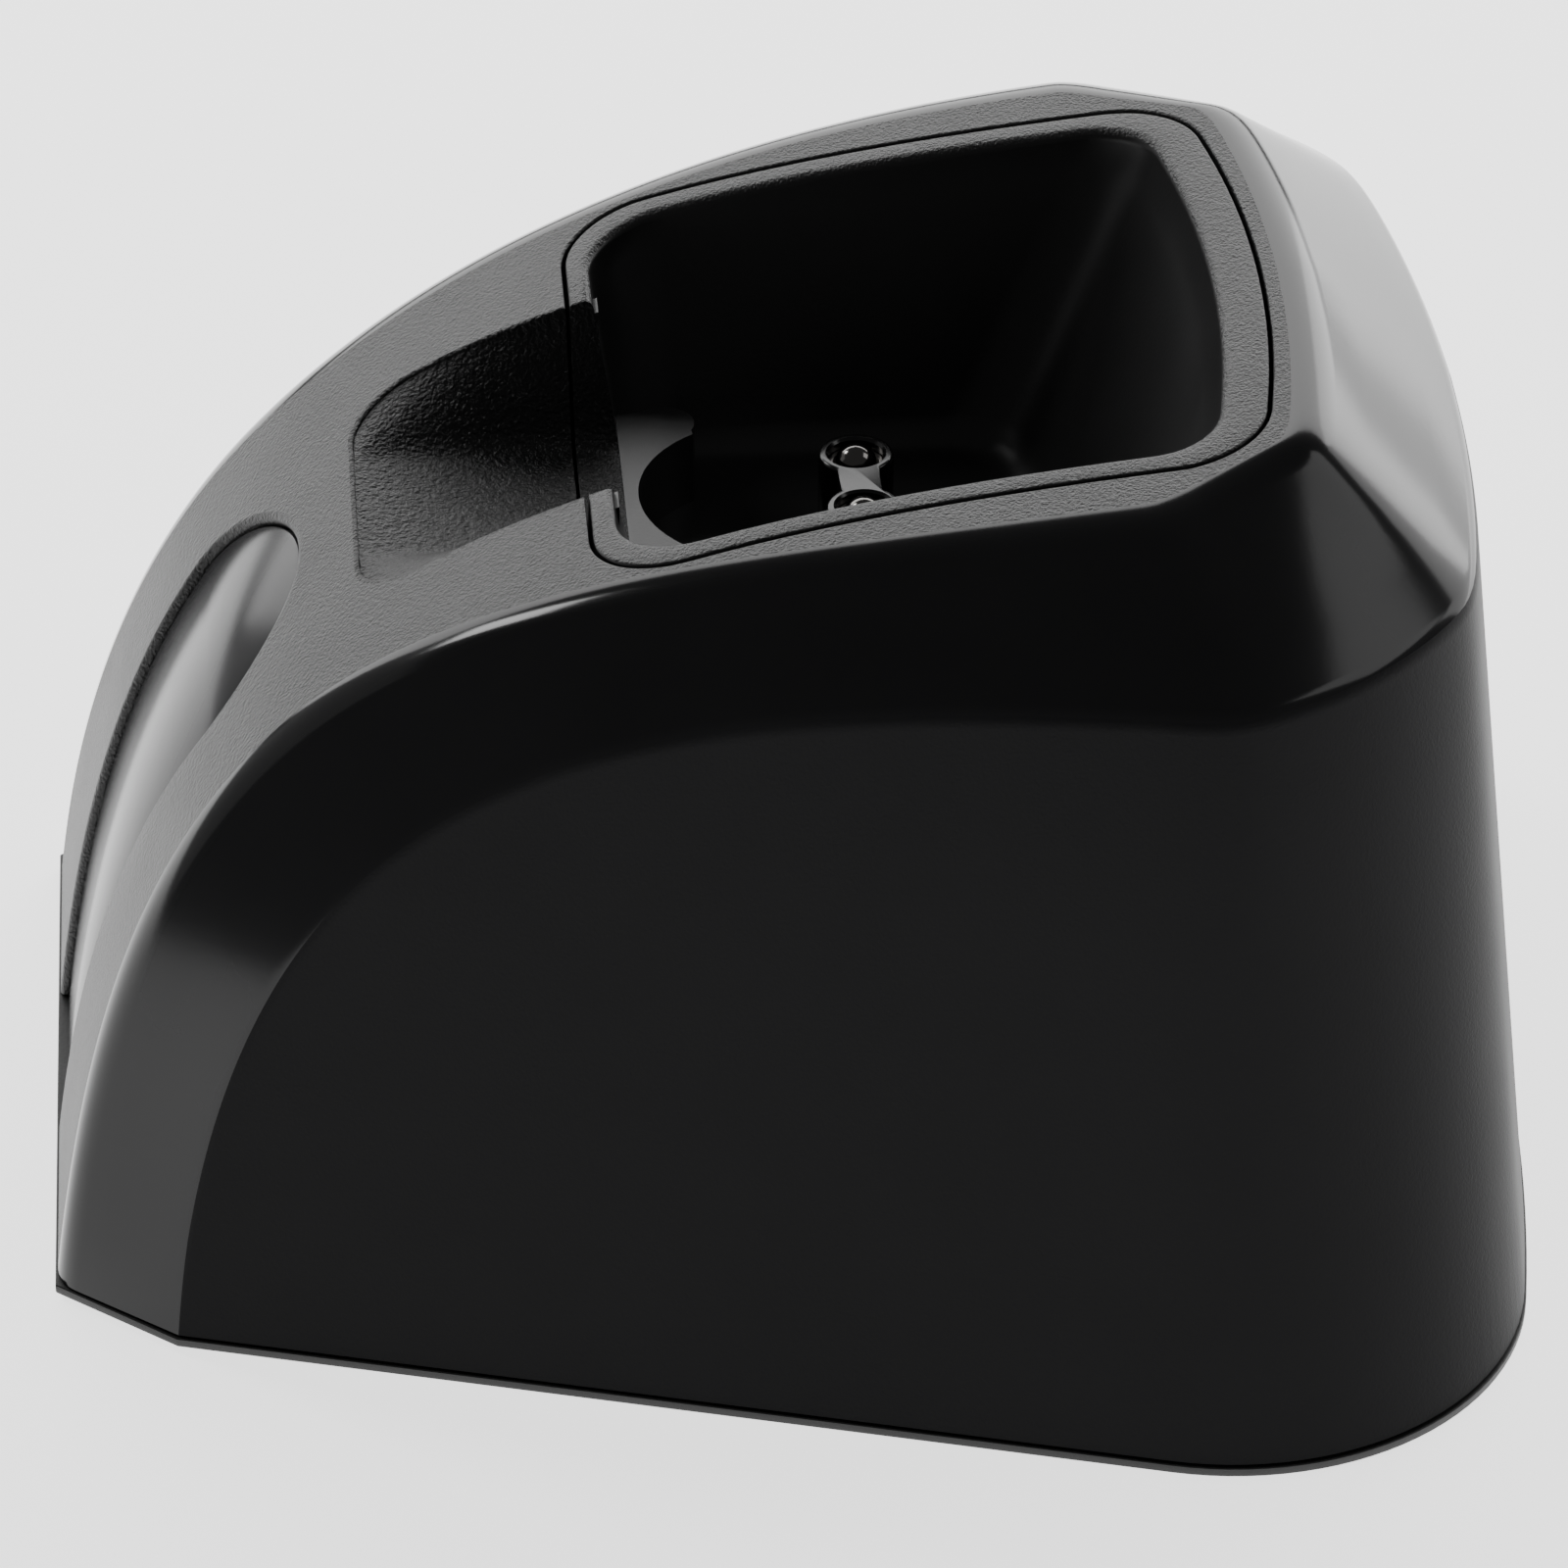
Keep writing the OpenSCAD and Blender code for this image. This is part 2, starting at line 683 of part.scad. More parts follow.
// A round bar of a few sides along a list of points
function way_at(p, i) = unit(p[min(i + 1, len(p) - 1)] - p[max(i - 1, 0)]);
function bar_ring(p, i, r, sides, ref) =
  let (t = way_at(p, i), u = unit(cross(ref, t)), v = cross(t, u))
  [for (k = [0:sides - 1]) p[i] + r * (cos(360 * k / sides) * u + sin(360 * k / sides) * v)];
module bar(p, r, sides, ref) {
  ring_stack([for (i = [0:len(p) - 1]) bar_ring(p, i, r, sides, ref)]);
}

spring_steps = 10;
spring_sides = 5;
spring_r = collar_r - spring_wire / 2;
spring_low = board_top + spring_wire;
spring_high = collar_z - spring_wire;
module contact_spring(side) {
  color("#c8c8c8")
  translate([side * contact_pitch / 2, contact_y, 0])
    bar([for (i = [0:spring_turns * spring_steps])
      let (a = 360 * i / spring_steps)
      [spring_r * cos(a), spring_r * sin(a),
       spring_low + (spring_high - spring_low) * i / (spring_turns * spring_steps)]],
      spring_wire / 2, spring_sides, [0, 0, 1]);
}
module contact_spring_left() contact_spring(-1);
module contact_spring_right() contact_spring(1);

board_wide = 2 * board_screw_x + 8;
board_long = 16;
pad_r = 1.6;
pad_y = contact_y + board_long / 2 - pad_r - 1;
module contact_board() {
  color("#1f5a34")
  difference() {
    translate([-board_wide / 2, contact_y - board_long / 2, board_z])
      cube([board_wide, board_long, board_t]);
    for (side = [-1, 1])
      translate([side * board_screw_x, contact_y, board_z - over])
        cylinder(r = small_r + post_gap, h = board_t + 2 * over);
  }
}
module board_screws() {
  color("#b8bcc0")
  for (side = [-1, 1])
    translate([side * board_screw_x, contact_y, board_z])
      screw(small_r, board_t + carrier_t + liner_t / 2, small_head_r, small_head_h);
}
module liner_screws() {
  color("#b8bcc0")
  at_both(tab_places)
    translate([0, 0, tab_z]) screw(small_r, tab_t + liner_screw_bite - over, small_head_r, small_head_h);
}

function foot_outline(inset) = mirrored(concat(
  [[nose_wide / 2 - band_share * inset, front_y + inset]],
  [[side_x(chamfer_y, 0) - inset * taper_stretch, chamfer_y + crest_down_share * inset]],
  rear_path(body_wide / 2, foot_corner_r, rear_y, side_taper, inset)
));
// The raised part of the plate clears the housing's walls, which lean in above it
side_lean = (side_x(0, 0) - side_x(0, crest_z)) / crest_z;
step_inset = wall_t + step_clearance + side_lean * plate_top;
cradle_t = 1.8;
cradle_high = 13;
module base_plate() {
  color("#141416")
  difference() {
    union() {
      translate([0, 0, plate_z]) linear_extrude(plate_edge) polygon(foot_outline(0));
      translate([0, 0, step_z]) linear_extrude(plate_step) polygon(foot_outline(step_inset));
      at_both(post_places) translate([0, 0, plate_z]) cylinder(r = post_r, h = plate_top + ballast_t - plate_z);
      for (side = [-1, 1])
        translate([side * (jack_wide + cradle_t) / 2 + side * jack_fit - cradle_t / 2,
                   jack_back_y, plate_z])
          cube([cradle_t, jack_long - 2 * over, cradle_high]);
      translate([-jack_wide / 2, jack_back_y - jack_fit - cradle_t, plate_z])
        cube([jack_wide / 2 - plug_r, cradle_t, cradle_high]);
      translate([-jack_wide / 2, jack_back_y, plate_z])
        cube([jack_wide, jack_long - 2 * over, jack_z - jack_wide / 2 - plate_z]);
    }
    at_both(foot_places) cylinder(r = foot_r, h = foot_t);
    at_both(base_screw_places) {
      cylinder(r = screw_head_r + post_gap, h = head_floor_z);
      cylinder(r = screw_r + post_gap, h = body_high);
    }
    at_both(post_places)
      translate([0, 0, step_z]) cylinder(r = screw_r - screw_fit, h = body_high);
  }
}
module base_screws() {
  color("#b8bcc0")
  at_both(base_screw_places)
    translate([0, 0, head_floor_z])
      screw(screw_r, plate_top + screw_bite - head_floor_z, screw_head_r, screw_head_h);
}

module ballast_weight() {
  color("#7c8085")
  translate([0, 0, ballast_z])
  difference() {
    linear_extrude(ballast_t) polygon(foot_outline(ballast_inset));
    at_both(base_screw_places) translate([0, 0, -over])
      cylinder(r = screw_boss_r + over, h = ballast_t + 2 * over);
    at_both(post_places) translate([0, 0, -over]) cylinder(r = post_r + post_gap, h = ballast_t + 2 * over);
    translate([-jack_room, jack_room_y, -over]) cube([2 * jack_room, body_long, ballast_t + 2 * over]);
  }
}
module ballast_screws() {
  color("#b8bcc0")
  at_both(post_places)
    translate([0, 0, plate_top + ballast_t]) mirror([0, 0, 1])
      screw(screw_r - 2 * screw_fit, ballast_t + plate_step - over / 2, washer_head_r, screw_head_h);
}

module rubber_feet() {
  color("#101010")
  at_both(foot_places) cylinder(r = foot_r, h = foot_t);
}

leaf_t = 0.3;
leaf_wide = 3;
slot_deep = 0.9;
module power_jack() {
  color("#121214")
  difference() {
    union() {
      translate([-jack_wide / 2, jack_back_y, jack_z - jack_wide / 2])
        cube([jack_wide, jack_long, jack_wide]);
      along_y(jack_block_y - over) cylinder(r = jack_nose_r, h = jack_face_y - jack_block_y + over);
    }
    along_y(jack_face_y - jack_bore_deep) cylinder(r = plug_r + plug_fit, h = body_long);
    along_y(jack_back_y - over) cylinder(r = jack_root_r, h = body_long);
    translate([-leaf_wide / 2 - plug_fit, jack_back_y - over, jack_z - plug_r - slot_deep])
      cube([leaf_wide + 2 * plug_fit, jack_long, slot_deep + plug_r / 2]);
  }
}
tail_out = 1.5;
jack_root_y = jack_face_y - jack_bore_deep;
jack_pin_long = jack_bore_deep - 1.5;
module jack_pin() {
  color("#c9ccd0") {
    along_y(jack_back_y - tail_out)
      cylinder(r = jack_root_r, h = jack_root_y - jack_back_y + tail_out);
    along_y(jack_root_y) cylinder(r = jack_pin_r, h = jack_pin_long);
    along_y(jack_root_y + jack_pin_long)
      cylinder(r1 = jack_pin_r, r2 = jack_pin_r / 2, h = jack_pin_r / 2);
  }
}
leaf_z = jack_z - plug_r - slot_deep + plug_fit;
module jack_leaf() {
  color("#c9a24a")
  translate([-leaf_wide / 2, jack_back_y - tail_out, leaf_z])
    cube([leaf_wide, jack_long - over, leaf_t]);
}

// A smooth line through chosen points
function through(p, i, t) =
  let (a = p[max(i - 1, 0)], b = p[i], c = p[i + 1], d = p[min(i + 2, len(p) - 1)])
  b + 0.5 * t * (c - a) + t * t * (a - 2.5 * b + 2 * c - 0.5 * d)
  + t * t * t * (-0.5 * a + 1.5 * b - 1.5 * c + 0.5 * d);
lead_steps = 4;
function smooth(p) = concat(
  [for (i = [0:len(p) - 2]) for (k = [0:lead_steps - 1]) through(p, i, k / lead_steps)],
  [p[len(p) - 1]]
);
lead_sides = 8;
module lead(points) {
  bar(smooth(points), lead_r, lead_sides, [1, 0, 0]);
}
// Each lead hangs from the board, swings back over the ballast and ends at its terminal
solder_gap = 0.15;
lead_end_y = jack_back_y - tail_out - solder_gap;
lead_top_z = board_z - solder_gap;
lead_positive_route = [
  [8, pad_y, lead_top_z], [8, pad_y, board_z - 4], [10, 20, 38], [12, 30, 26],
  [9, 36, 18], [2, 43, 14], [0, lead_end_y - 3, jack_z], [0, lead_end_y, jack_z]
];
lead_negative_route = [
  [-8, pad_y, lead_top_z], [-8, pad_y, board_z - 4], [-10, 20, 37], [-12, 30, 24],
  [-9, 36, 15], [-2, 43, 11], [0, lead_end_y - 3, leaf_z], [0, lead_end_y, leaf_z]
];
module lead_positive() {
  color("#8c1f1f") lead(lead_positive_route);
}
module lead_negative() {
  color("#202020") lead(lead_negative_route);
}

upper_housing();
well_liner();
badge_plate();
contact_carrier();
contact_barrel_left();
contact_barrel_right();
contact_pin_left();
contact_pin_right();
contact_spring_left();
contact_spring_right();
contact_board();
board_screws();
liner_screws();
base_plate();
base_screws();
ballast_weight();
ballast_screws();
rubber_feet();
power_jack();
jack_pin();
jack_leaf();
lead_positive();
lead_negative();
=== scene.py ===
"""Charging stand: the visual model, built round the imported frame.

Shapes are worked out in millimetres from the frame's own boxes and a few sizes of the moulding, and are
made in metres. X runs across the stand, -Y is its front and +Z is up.
"""

import logging
import math
from dataclasses import dataclass
from enum import Enum

import bmesh
import bpy
import numpy as np
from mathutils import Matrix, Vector


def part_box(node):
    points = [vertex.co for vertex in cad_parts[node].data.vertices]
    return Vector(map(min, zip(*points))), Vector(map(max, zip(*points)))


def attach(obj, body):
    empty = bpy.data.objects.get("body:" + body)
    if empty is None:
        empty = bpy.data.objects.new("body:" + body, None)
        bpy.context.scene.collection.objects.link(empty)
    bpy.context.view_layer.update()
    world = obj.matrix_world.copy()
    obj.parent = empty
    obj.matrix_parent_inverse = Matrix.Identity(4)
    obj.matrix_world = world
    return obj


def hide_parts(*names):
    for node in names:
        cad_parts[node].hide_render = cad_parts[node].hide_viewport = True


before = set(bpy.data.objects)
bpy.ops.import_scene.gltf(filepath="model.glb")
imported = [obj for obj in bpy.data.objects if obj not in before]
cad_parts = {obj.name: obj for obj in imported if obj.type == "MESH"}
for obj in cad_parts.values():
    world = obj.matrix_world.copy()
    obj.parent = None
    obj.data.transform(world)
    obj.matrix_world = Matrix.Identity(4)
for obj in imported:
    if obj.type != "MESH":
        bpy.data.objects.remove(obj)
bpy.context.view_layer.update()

LOG = logging.getLogger("stand")
MM = 0.001
SMOOTH_ANGLE = math.radians(32)
FIXED_BODY = "stand"
EDGE_TURN = math.radians(82)
CUTTER_STEP = 0.12
CUTTER_RISE = 1.5
SKY = 10.0
TROUGH_FOOT_RISE = 0.2
TROUGH_FOOT_RUN = 0.22
EASE_PASSES = 10


class Finish(Enum):
    """Finishes of the housing, in the order of its material slots."""

    BAND = 0
    GLOSS = 1
    WALL = 2
    TROUGH = 3
    INSIDE = 4


class Join(Enum):
    """Ways in which one closed mesh is joined with another."""

    CUT = "DIFFERENCE"
    ADD = "UNION"
    COMMON = "INTERSECT"


# ---------------------------------------------------------------- materials


@dataclass(frozen=True)
class Moulded:
    """A moulded plastic or rubber with its own grain.

    Args:
        name: Name of the material.
        color: Linear base colour.
        roughness: Mean roughness of the surface.
        shine: Specular level of the surface.
        grain: Size of the grain in metres, or 0 for none.
        depth: Height of the grain in metres.
        patches: How far the roughness wanders over the surface.
        coat: Weight of a clear gloss layer.
    """

    name: str
    color: tuple[float, float, float]
    roughness: float
    shine: float = 0.5
    grain: float = 0.0
    depth: float = 0.0
    patches: float = 0.04
    coat: float = 0.0

    def build(self) -> bpy.types.Material:
        """Make the material.

        Returns:
            The finished material.
        """
        material, nodes, links, shader = plain_material(self.name)
        shader.inputs["Specular IOR Level"].default_value = self.shine
        shader.inputs["Coat Weight"].default_value = self.coat
        shader.inputs["Coat Roughness"].default_value = 0.12
        place = nodes.new("ShaderNodeTexCoord")
        cloud = noise(nodes, links, place, 90.0, 3.0)
        tint = nodes.new("ShaderNodeMix")
        tint.data_type = "RGBA"
        tint.inputs["A"].default_value = (*[0.85 * c for c in self.color], 1)
        tint.inputs["B"].default_value = (*[1.15 * c for c in self.color], 1)
        links.new(cloud.outputs["Fac"], tint.inputs["Factor"])
        links.new(tint.outputs["Result"], shader.inputs["Base Color"])
        spread = nodes.new("ShaderNodeMapRange")
        spread.inputs["To Min"].default_value = self.roughness - self.patches
        spread.inputs["To Max"].default_value = self.roughness + self.patches
        links.new(cloud.outputs["Fac"], spread.inputs["Value"])
        links.new(spread.outputs["Result"], shader.inputs["Roughness"])
        if self.grain > 0:
            self._add_grain(nodes, links, place, shader)
        return material

    def _add_grain(self, nodes: bpy.types.Nodes, links: bpy.types.NodeLinks, place: bpy.types.Node,
                   shader: bpy.types.Node) -> None:
        """Raise the surface in round pebbles of two sizes.

        Args:
            nodes: The material's nodes.
            links: The material's links.
            place: The texture coordinate node.
            shader: The surface shader.
        """
        pebbles = nodes.new("ShaderNodeTexVoronoi")
        pebbles.feature = "SMOOTH_F1"
        pebbles.inputs["Scale"].default_value = 1.0 / self.grain
        links.new(place.outputs["Object"], pebbles.inputs["Vector"])
        fine = noise(nodes, links, place, 1.6 / self.grain, 2.0)
        height = nodes.new("ShaderNodeMath")
        height.operation = "MULTIPLY_ADD"
        height.inputs[1].default_value = 0.5
        links.new(pebbles.outputs["Distance"], height.inputs[0])
        links.new(fine.outputs["Fac"], height.inputs[2])
        bump = nodes.new("ShaderNodeBump")
        bump.inputs["Distance"].default_value = self.depth
        bump.inputs["Strength"].default_value = 1.0
        links.new(height.outputs["Value"], bump.inputs["Height"])
        links.new(bump.outputs["Normal"], shader.inputs["Normal"])


@dataclass(frozen=True)
class Metal:
    """A plated or drawn metal with fine wear.

    Args:
        name: Name of the material.
        color: Linear colour of its reflections.
        roughness: Mean roughness.
        scratch: Depth of its fine marks in metres.
    """

    name: str
    color: tuple[float, float, float]
    roughness: float
    scratch: float = 0.000004

    def build(self) -> bpy.types.Material:
        """Make the material.

        Returns:
            The finished material.
        """
        material, nodes, links, shader = plain_material(self.name)
        shader.inputs["Base Color"].default_value = (*self.color, 1)
        shader.inputs["Metallic"].default_value = 1.0
        place = nodes.new("ShaderNodeTexCoord")
        marks = noise(nodes, links, place, 1800.0, 4.0)
        spread = nodes.new("ShaderNodeMapRange")
        spread.inputs["To Min"].default_value = 0.7 * self.roughness
        spread.inputs["To Max"].default_value = 1.3 * self.roughness
        links.new(marks.outputs["Fac"], spread.inputs["Value"])
        links.new(spread.outputs["Result"], shader.inputs["Roughness"])
        bump = nodes.new("ShaderNodeBump")
        bump.inputs["Distance"].default_value = self.scratch
        links.new(marks.outputs["Fac"], bump.inputs["Height"])
        links.new(bump.outputs["Normal"], shader.inputs["Normal"])
        return material


def plain_material(
    name: str,
) -> tuple[bpy.types.Material, bpy.types.Nodes, bpy.types.NodeLinks, bpy.types.Node]:
    """Start a node material.

    Args:
        name: Name of the material.

    Returns:
        The material, its nodes, its links and its surface shader.
    """
    material = bpy.data.materials.new(name)
    material.use_nodes = True
    nodes, links = material.node_tree.nodes, material.node_tree.links
    return material, nodes, links, nodes["Principled BSDF"]


def noise(nodes: bpy.types.Nodes, links: bpy.types.NodeLinks, place: bpy.types.Node, scale: float,
          detail: float) -> bpy.types.Node:
    """Add a noise texture on object coordinates.

    Args:
        nodes: The material's nodes.
        links: The material's links.
        place: The texture coordinate node.
        scale: Scale of the noise, per metre.
        detail: Detail of the noise.

    Returns:
        The noise node.
    """
    texture = nodes.new("ShaderNodeTexNoise")
    texture.inputs["Scale"].default_value = scale
    texture.inputs["Detail"].default_value = detail
    links.new(place.outputs["Object"], texture.inputs["Vector"])
    return texture


BLACK = (0.0082, 0.0082, 0.0086)
BAND_PLASTIC = Moulded("band_grain", (0.012, 0.012, 0.0122), 0.42, 0.32, 0.00042, 0.00013)
GLOSS_PLASTIC = Moulded("bevel_gloss", BLACK, 0.13, 0.24, 0.0009, 0.0000015, 0.02)
WALL_PLASTIC = Moulded("wall_satin", BLACK, 0.42, 0.05, 0.0004, 0.00002)
TROUGH_PLASTIC = Moulded("trough_grain", (0.004, 0.004, 0.0041), 0.38, 0.16, 0.0006, 0.00022)
INSIDE_PLASTIC = Moulded("housing_inside", (0.012, 0.012, 0.012), 0.6, 0.4, 0.0006, 0.00001)
LINER_PLASTIC = Moulded("liner_satin", (0.013, 0.013, 0.0132), 0.34, 0.3, 0.0004, 0.000008)
BADGE_PLASTIC = Moulded("badge_smooth", (0.03, 0.03, 0.031), 0.2, 0.16, 0.0, 0.0, 0.03)
CARRIER_PLASTIC = Moulded("carrier_gloss", (0.004, 0.004, 0.004), 0.16, 0.35)
BASE_PLASTIC = Moulded("base_grain", (0.009, 0.009, 0.009), 0.5, 0.35, 0.0005, 0.00002)
RUBBER = Moulded("foot_rubber", (0.014, 0.014, 0.014), 0.78, 0.25, 0.0003, 0.00002)
BOARD_MASK = Moulded("board_mask", (0.012, 0.09, 0.035), 0.3, 0.5)
RED_LEAD = Moulded("lead_red", (0.32, 0.012, 0.012), 0.4, 0.45)
BLACK_LEAD = Moulded("lead_black", (0.012, 0.012, 0.012), 0.4, 0.45)
CONTACT_METAL = Metal("contact_plating", (0.13, 0.125, 0.12), 0.12)
BARREL_METAL = Metal("barrel_plated", (0.2, 0.19, 0.18), 0.3)
SPRING_METAL = Metal("spring_steel", (0.6, 0.6, 0.62), 0.25)
SCREW_METAL = Metal("screw_zinc", (0.55, 0.56, 0.6), 0.32, 0.000008)
BALLAST_METAL = Metal("ballast_steel", (0.28, 0.29, 0.31), 0.55, 0.00003)


# ---------------------------------------------------------------- curves


def cubic(t: float, p: np.ndarray) -> np.ndarray:
    """Point of a cubic curve.

    Args:
        t: Place on the curve, from 0 to 1.
        p: Its four control values.

    Returns:
        The value there.
    """
    s = 1 - t
    return s**3 * p[0] + 3 * s * s * t * p[1] + 3 * s * t * t * p[2] + t**3 * p[3]


def cubic_way(t: float, p: np.ndarray) -> np.ndarray:
    """Unit direction of a cubic curve.

    Args:
        t: Place on the curve.
        p: Its four control points.

    Returns:
        The direction there.
    """
    s = 1 - t
    way = s * s * (p[1] - p[0]) + 2 * s * t * (p[2] - p[1]) + t * t * (p[3] - p[2])
    return way / np.linalg.norm(way)


def mirrored(right: list) -> np.ndarray:
    """Close an outline or a line from its right half.

    Args:
        right: Points of the right half, front to rear.

    Returns:
        All the points, with those on the mirror plane once.
    """
    left = [(-p[0], *p[1:]) for p in reversed(right) if p[0] > 1e-9]
    return np.array([tuple(p) for p in right] + left, float)


def rounding(radius: float, steps: int = 6) -> list[tuple[float, float]]:
    """Profile of a rounded edge, from its wall to the surface and a little past it.

    Args:
        radius: Radius of the edge, in millimetres.
        steps: Number of steps round it.

    Returns:
        Pairs of outward growth and depth below the surface.
    """
    turn = [EDGE_TURN * i / steps for i in range(steps + 1)]
    arc = [(radius * (1 - math.cos(a)), radius * (1 - math.sin(a))) for a in turn]
    past = arc[-1][0] + CUTTER_STEP
    return arc + [(past, -CUTTER_STEP / 4), (past, -CUTTER_RISE)]


# ---------------------------------------------------------------- mesh work


def make_mesh(name: str, points: np.ndarray, faces: list, tags: list | None = None) -> bpy.types.Object:
    """Make a closed mesh object from millimetre points.

    Args:
        name: Name of the object.
        points: Its points, in millimetres.
        faces: Its faces, as lists of point numbers.
        tags: Material number of each face, or None for all the first.

    Returns:
        The object, linked to the scene.
    """
    mesh = bpy.data.meshes.new(name)
    mesh.from_pydata((np.asarray(points) * MM).tolist(), [], faces)
    if tags is not None:
        mesh.polygons.foreach_set("material_index", tags)
    piece = bpy.data.objects.new(name, mesh)
    bpy.context.scene.collection.objects.link(piece)
    return piece


def mend(piece: bpy.types.Object, fill: bool = False) -> bpy.types.Object:
    """Merge doubled points, close open loops and turn faces outwards.

    Args:
        piece: The mesh object.
        fill: Whether open loops are filled.

    Returns:
        The same object.
    """
    work = bmesh.new()
    work.from_mesh(piece.data)
    bmesh.ops.remove_doubles(work, verts=work.verts, dist=1e-7)
    bmesh.ops.dissolve_degenerate(work, edges=work.edges, dist=1e-8)
    if fill:
        bmesh.ops.holes_fill(work, edges=[e for e in work.edges if e.is_boundary], sides=0)
    bmesh.ops.recalc_face_normals(work, faces=work.faces)
    work.to_mesh(piece.data)
    work.free()
    return piece


def ring_solid(name: str, rings: list, tag: int = 0) -> bpy.types.Object:
    """Make a closed solid through a stack of rings.

    Args:
        name: Name of the object.
        rings: Rings with equal numbers of points, lowest first.
        tag: Material number of its faces.

    Returns:
        The object.
    """
    count, size = len(rings), len(rings[0])
    faces = [list(reversed(range(size))), [(count - 1) * size + i for i in range(size)]]
    for j in range(count - 1):
        for i in range(size):
            a, b = j * size + i, j * size + (i + 1) % size
            faces.append([a, b, b + size, a + size])
    return mend(make_mesh(name, np.vstack(rings), faces, [tag] * len(faces)))


def round_solid(name: str, profile: list, centre: tuple, steps: int = 64) -> bpy.types.Object:
    """Turn a profile about a vertical line.

    Args:
        name: Name of the object.
        profile: Pairs of radius and height, from the lowest to the highest, in millimetres.
        centre: X and Y of the line.
        steps: Number of sides.

    Returns:
        The object.
    """
    turn = np.linspace(0, 2 * math.pi, steps, endpoint=False)
    rings = [
        np.column_stack([centre[0] + max(r, 0.01) * np.cos(turn), centre[1] + max(r, 0.01) * np.sin(turn),
                         np.full(steps, z)])
        for r, z in profile
    ]
    return ring_solid(name, rings)


def combine(piece: bpy.types.Object, other: bpy.types.Object, how: Join) -> bpy.types.Object:
    """Join a closed mesh with another in place.

    Args:
        piece: The mesh that changes.
        other: The mesh that it is joined with.
        how: Cut, add or keep what is common. The other mesh is removed afterwards.

    Returns:
        The changed object.
    """
    tool = piece.modifiers.new("join", "BOOLEAN")
    tool.operation = how.value
    tool.solver = "EXACT"
    tool.object = other
    graph = bpy.context.evaluated_depsgraph_get()
    result = bpy.data.meshes.new_from_object(piece.evaluated_get(graph))
    piece.modifiers.remove(tool)
    piece.data = result
    bpy.data.objects.remove(other)
    return piece


def turned(piece: bpy.types.Object, matrix_rows: list) -> bpy.types.Object:
    """Map a mesh's points through a 3 by 3 turn and an offset in millimetres.

    Args:
        piece: The mesh object.
        matrix_rows: Three rows of three turn values and one offset.

    Returns:
        The same object.
    """
    rows = np.array(matrix_rows, float)
    co = np.empty(len(piece.data.vertices) * 3)
    piece.data.vertices.foreach_get("co", co)
    co = co.reshape(-1, 3) @ rows[:, :3].T + rows[:, 3] * MM
    piece.data.vertices.foreach_set("co", co.ravel())
    piece.data.update()
    return piece


def joined(name: str, pieces: list) -> bpy.types.Object:
    """Put several meshes into one object.

    Args:
        name: Name of the new object.
        pieces: The mesh objects, which are removed.

    Returns:
        The new object.
    """
    work = bmesh.new()
    for piece in pieces:
        work.from_mesh(piece.data)
        bpy.data.objects.remove(piece)
    mesh = bpy.data.meshes.new(name)
    work.to_mesh(mesh)
    work.free()
    whole = bpy.data.objects.new(name, mesh)
    bpy.context.scene.collection.objects.link(whole)
    return whole


def dress(piece: bpy.types.Object, finishes: list, angle: float = SMOOTH_ANGLE) -> bpy.types.Object:
    """Give a piece its materials and its smooth shading.

    Args:
        piece: The mesh object.
        finishes: Materials, in slot order.
        angle: Angle past which an edge stays sharp.

    Returns:
        The same object.
    """
    tags = np.empty(len(piece.data.polygons), np.int32)
    piece.data.polygons.foreach_get("material_index", tags)
    piece.data.materials.clear()
    for material in finishes:
        piece.data.materials.append(material)
    piece.data.polygons.foreach_set("material_index", np.clip(tags, 0, len(finishes) - 1))
    piece.data.shade_smooth()
    piece.data.set_sharp_from_angle(angle=angle)
    return piece


def finish_piece(piece: bpy.types.Object, nodes: list, body: str = FIXED_BODY) -> None:
    """Hide the frame's nodes that a piece stands for, hang it on its body and report it.

    Args:
        piece: The finished piece.
        nodes: CAD nodes that it stands for.
        body: The body that it rides on.
    """
    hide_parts(*nodes)
    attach(piece, body)
    LOG.info("%s: %d faces, stands for %s", piece.name, len(piece.data.polygons), ", ".join(nodes))


# ---------------------------------------------------------------- the outer form


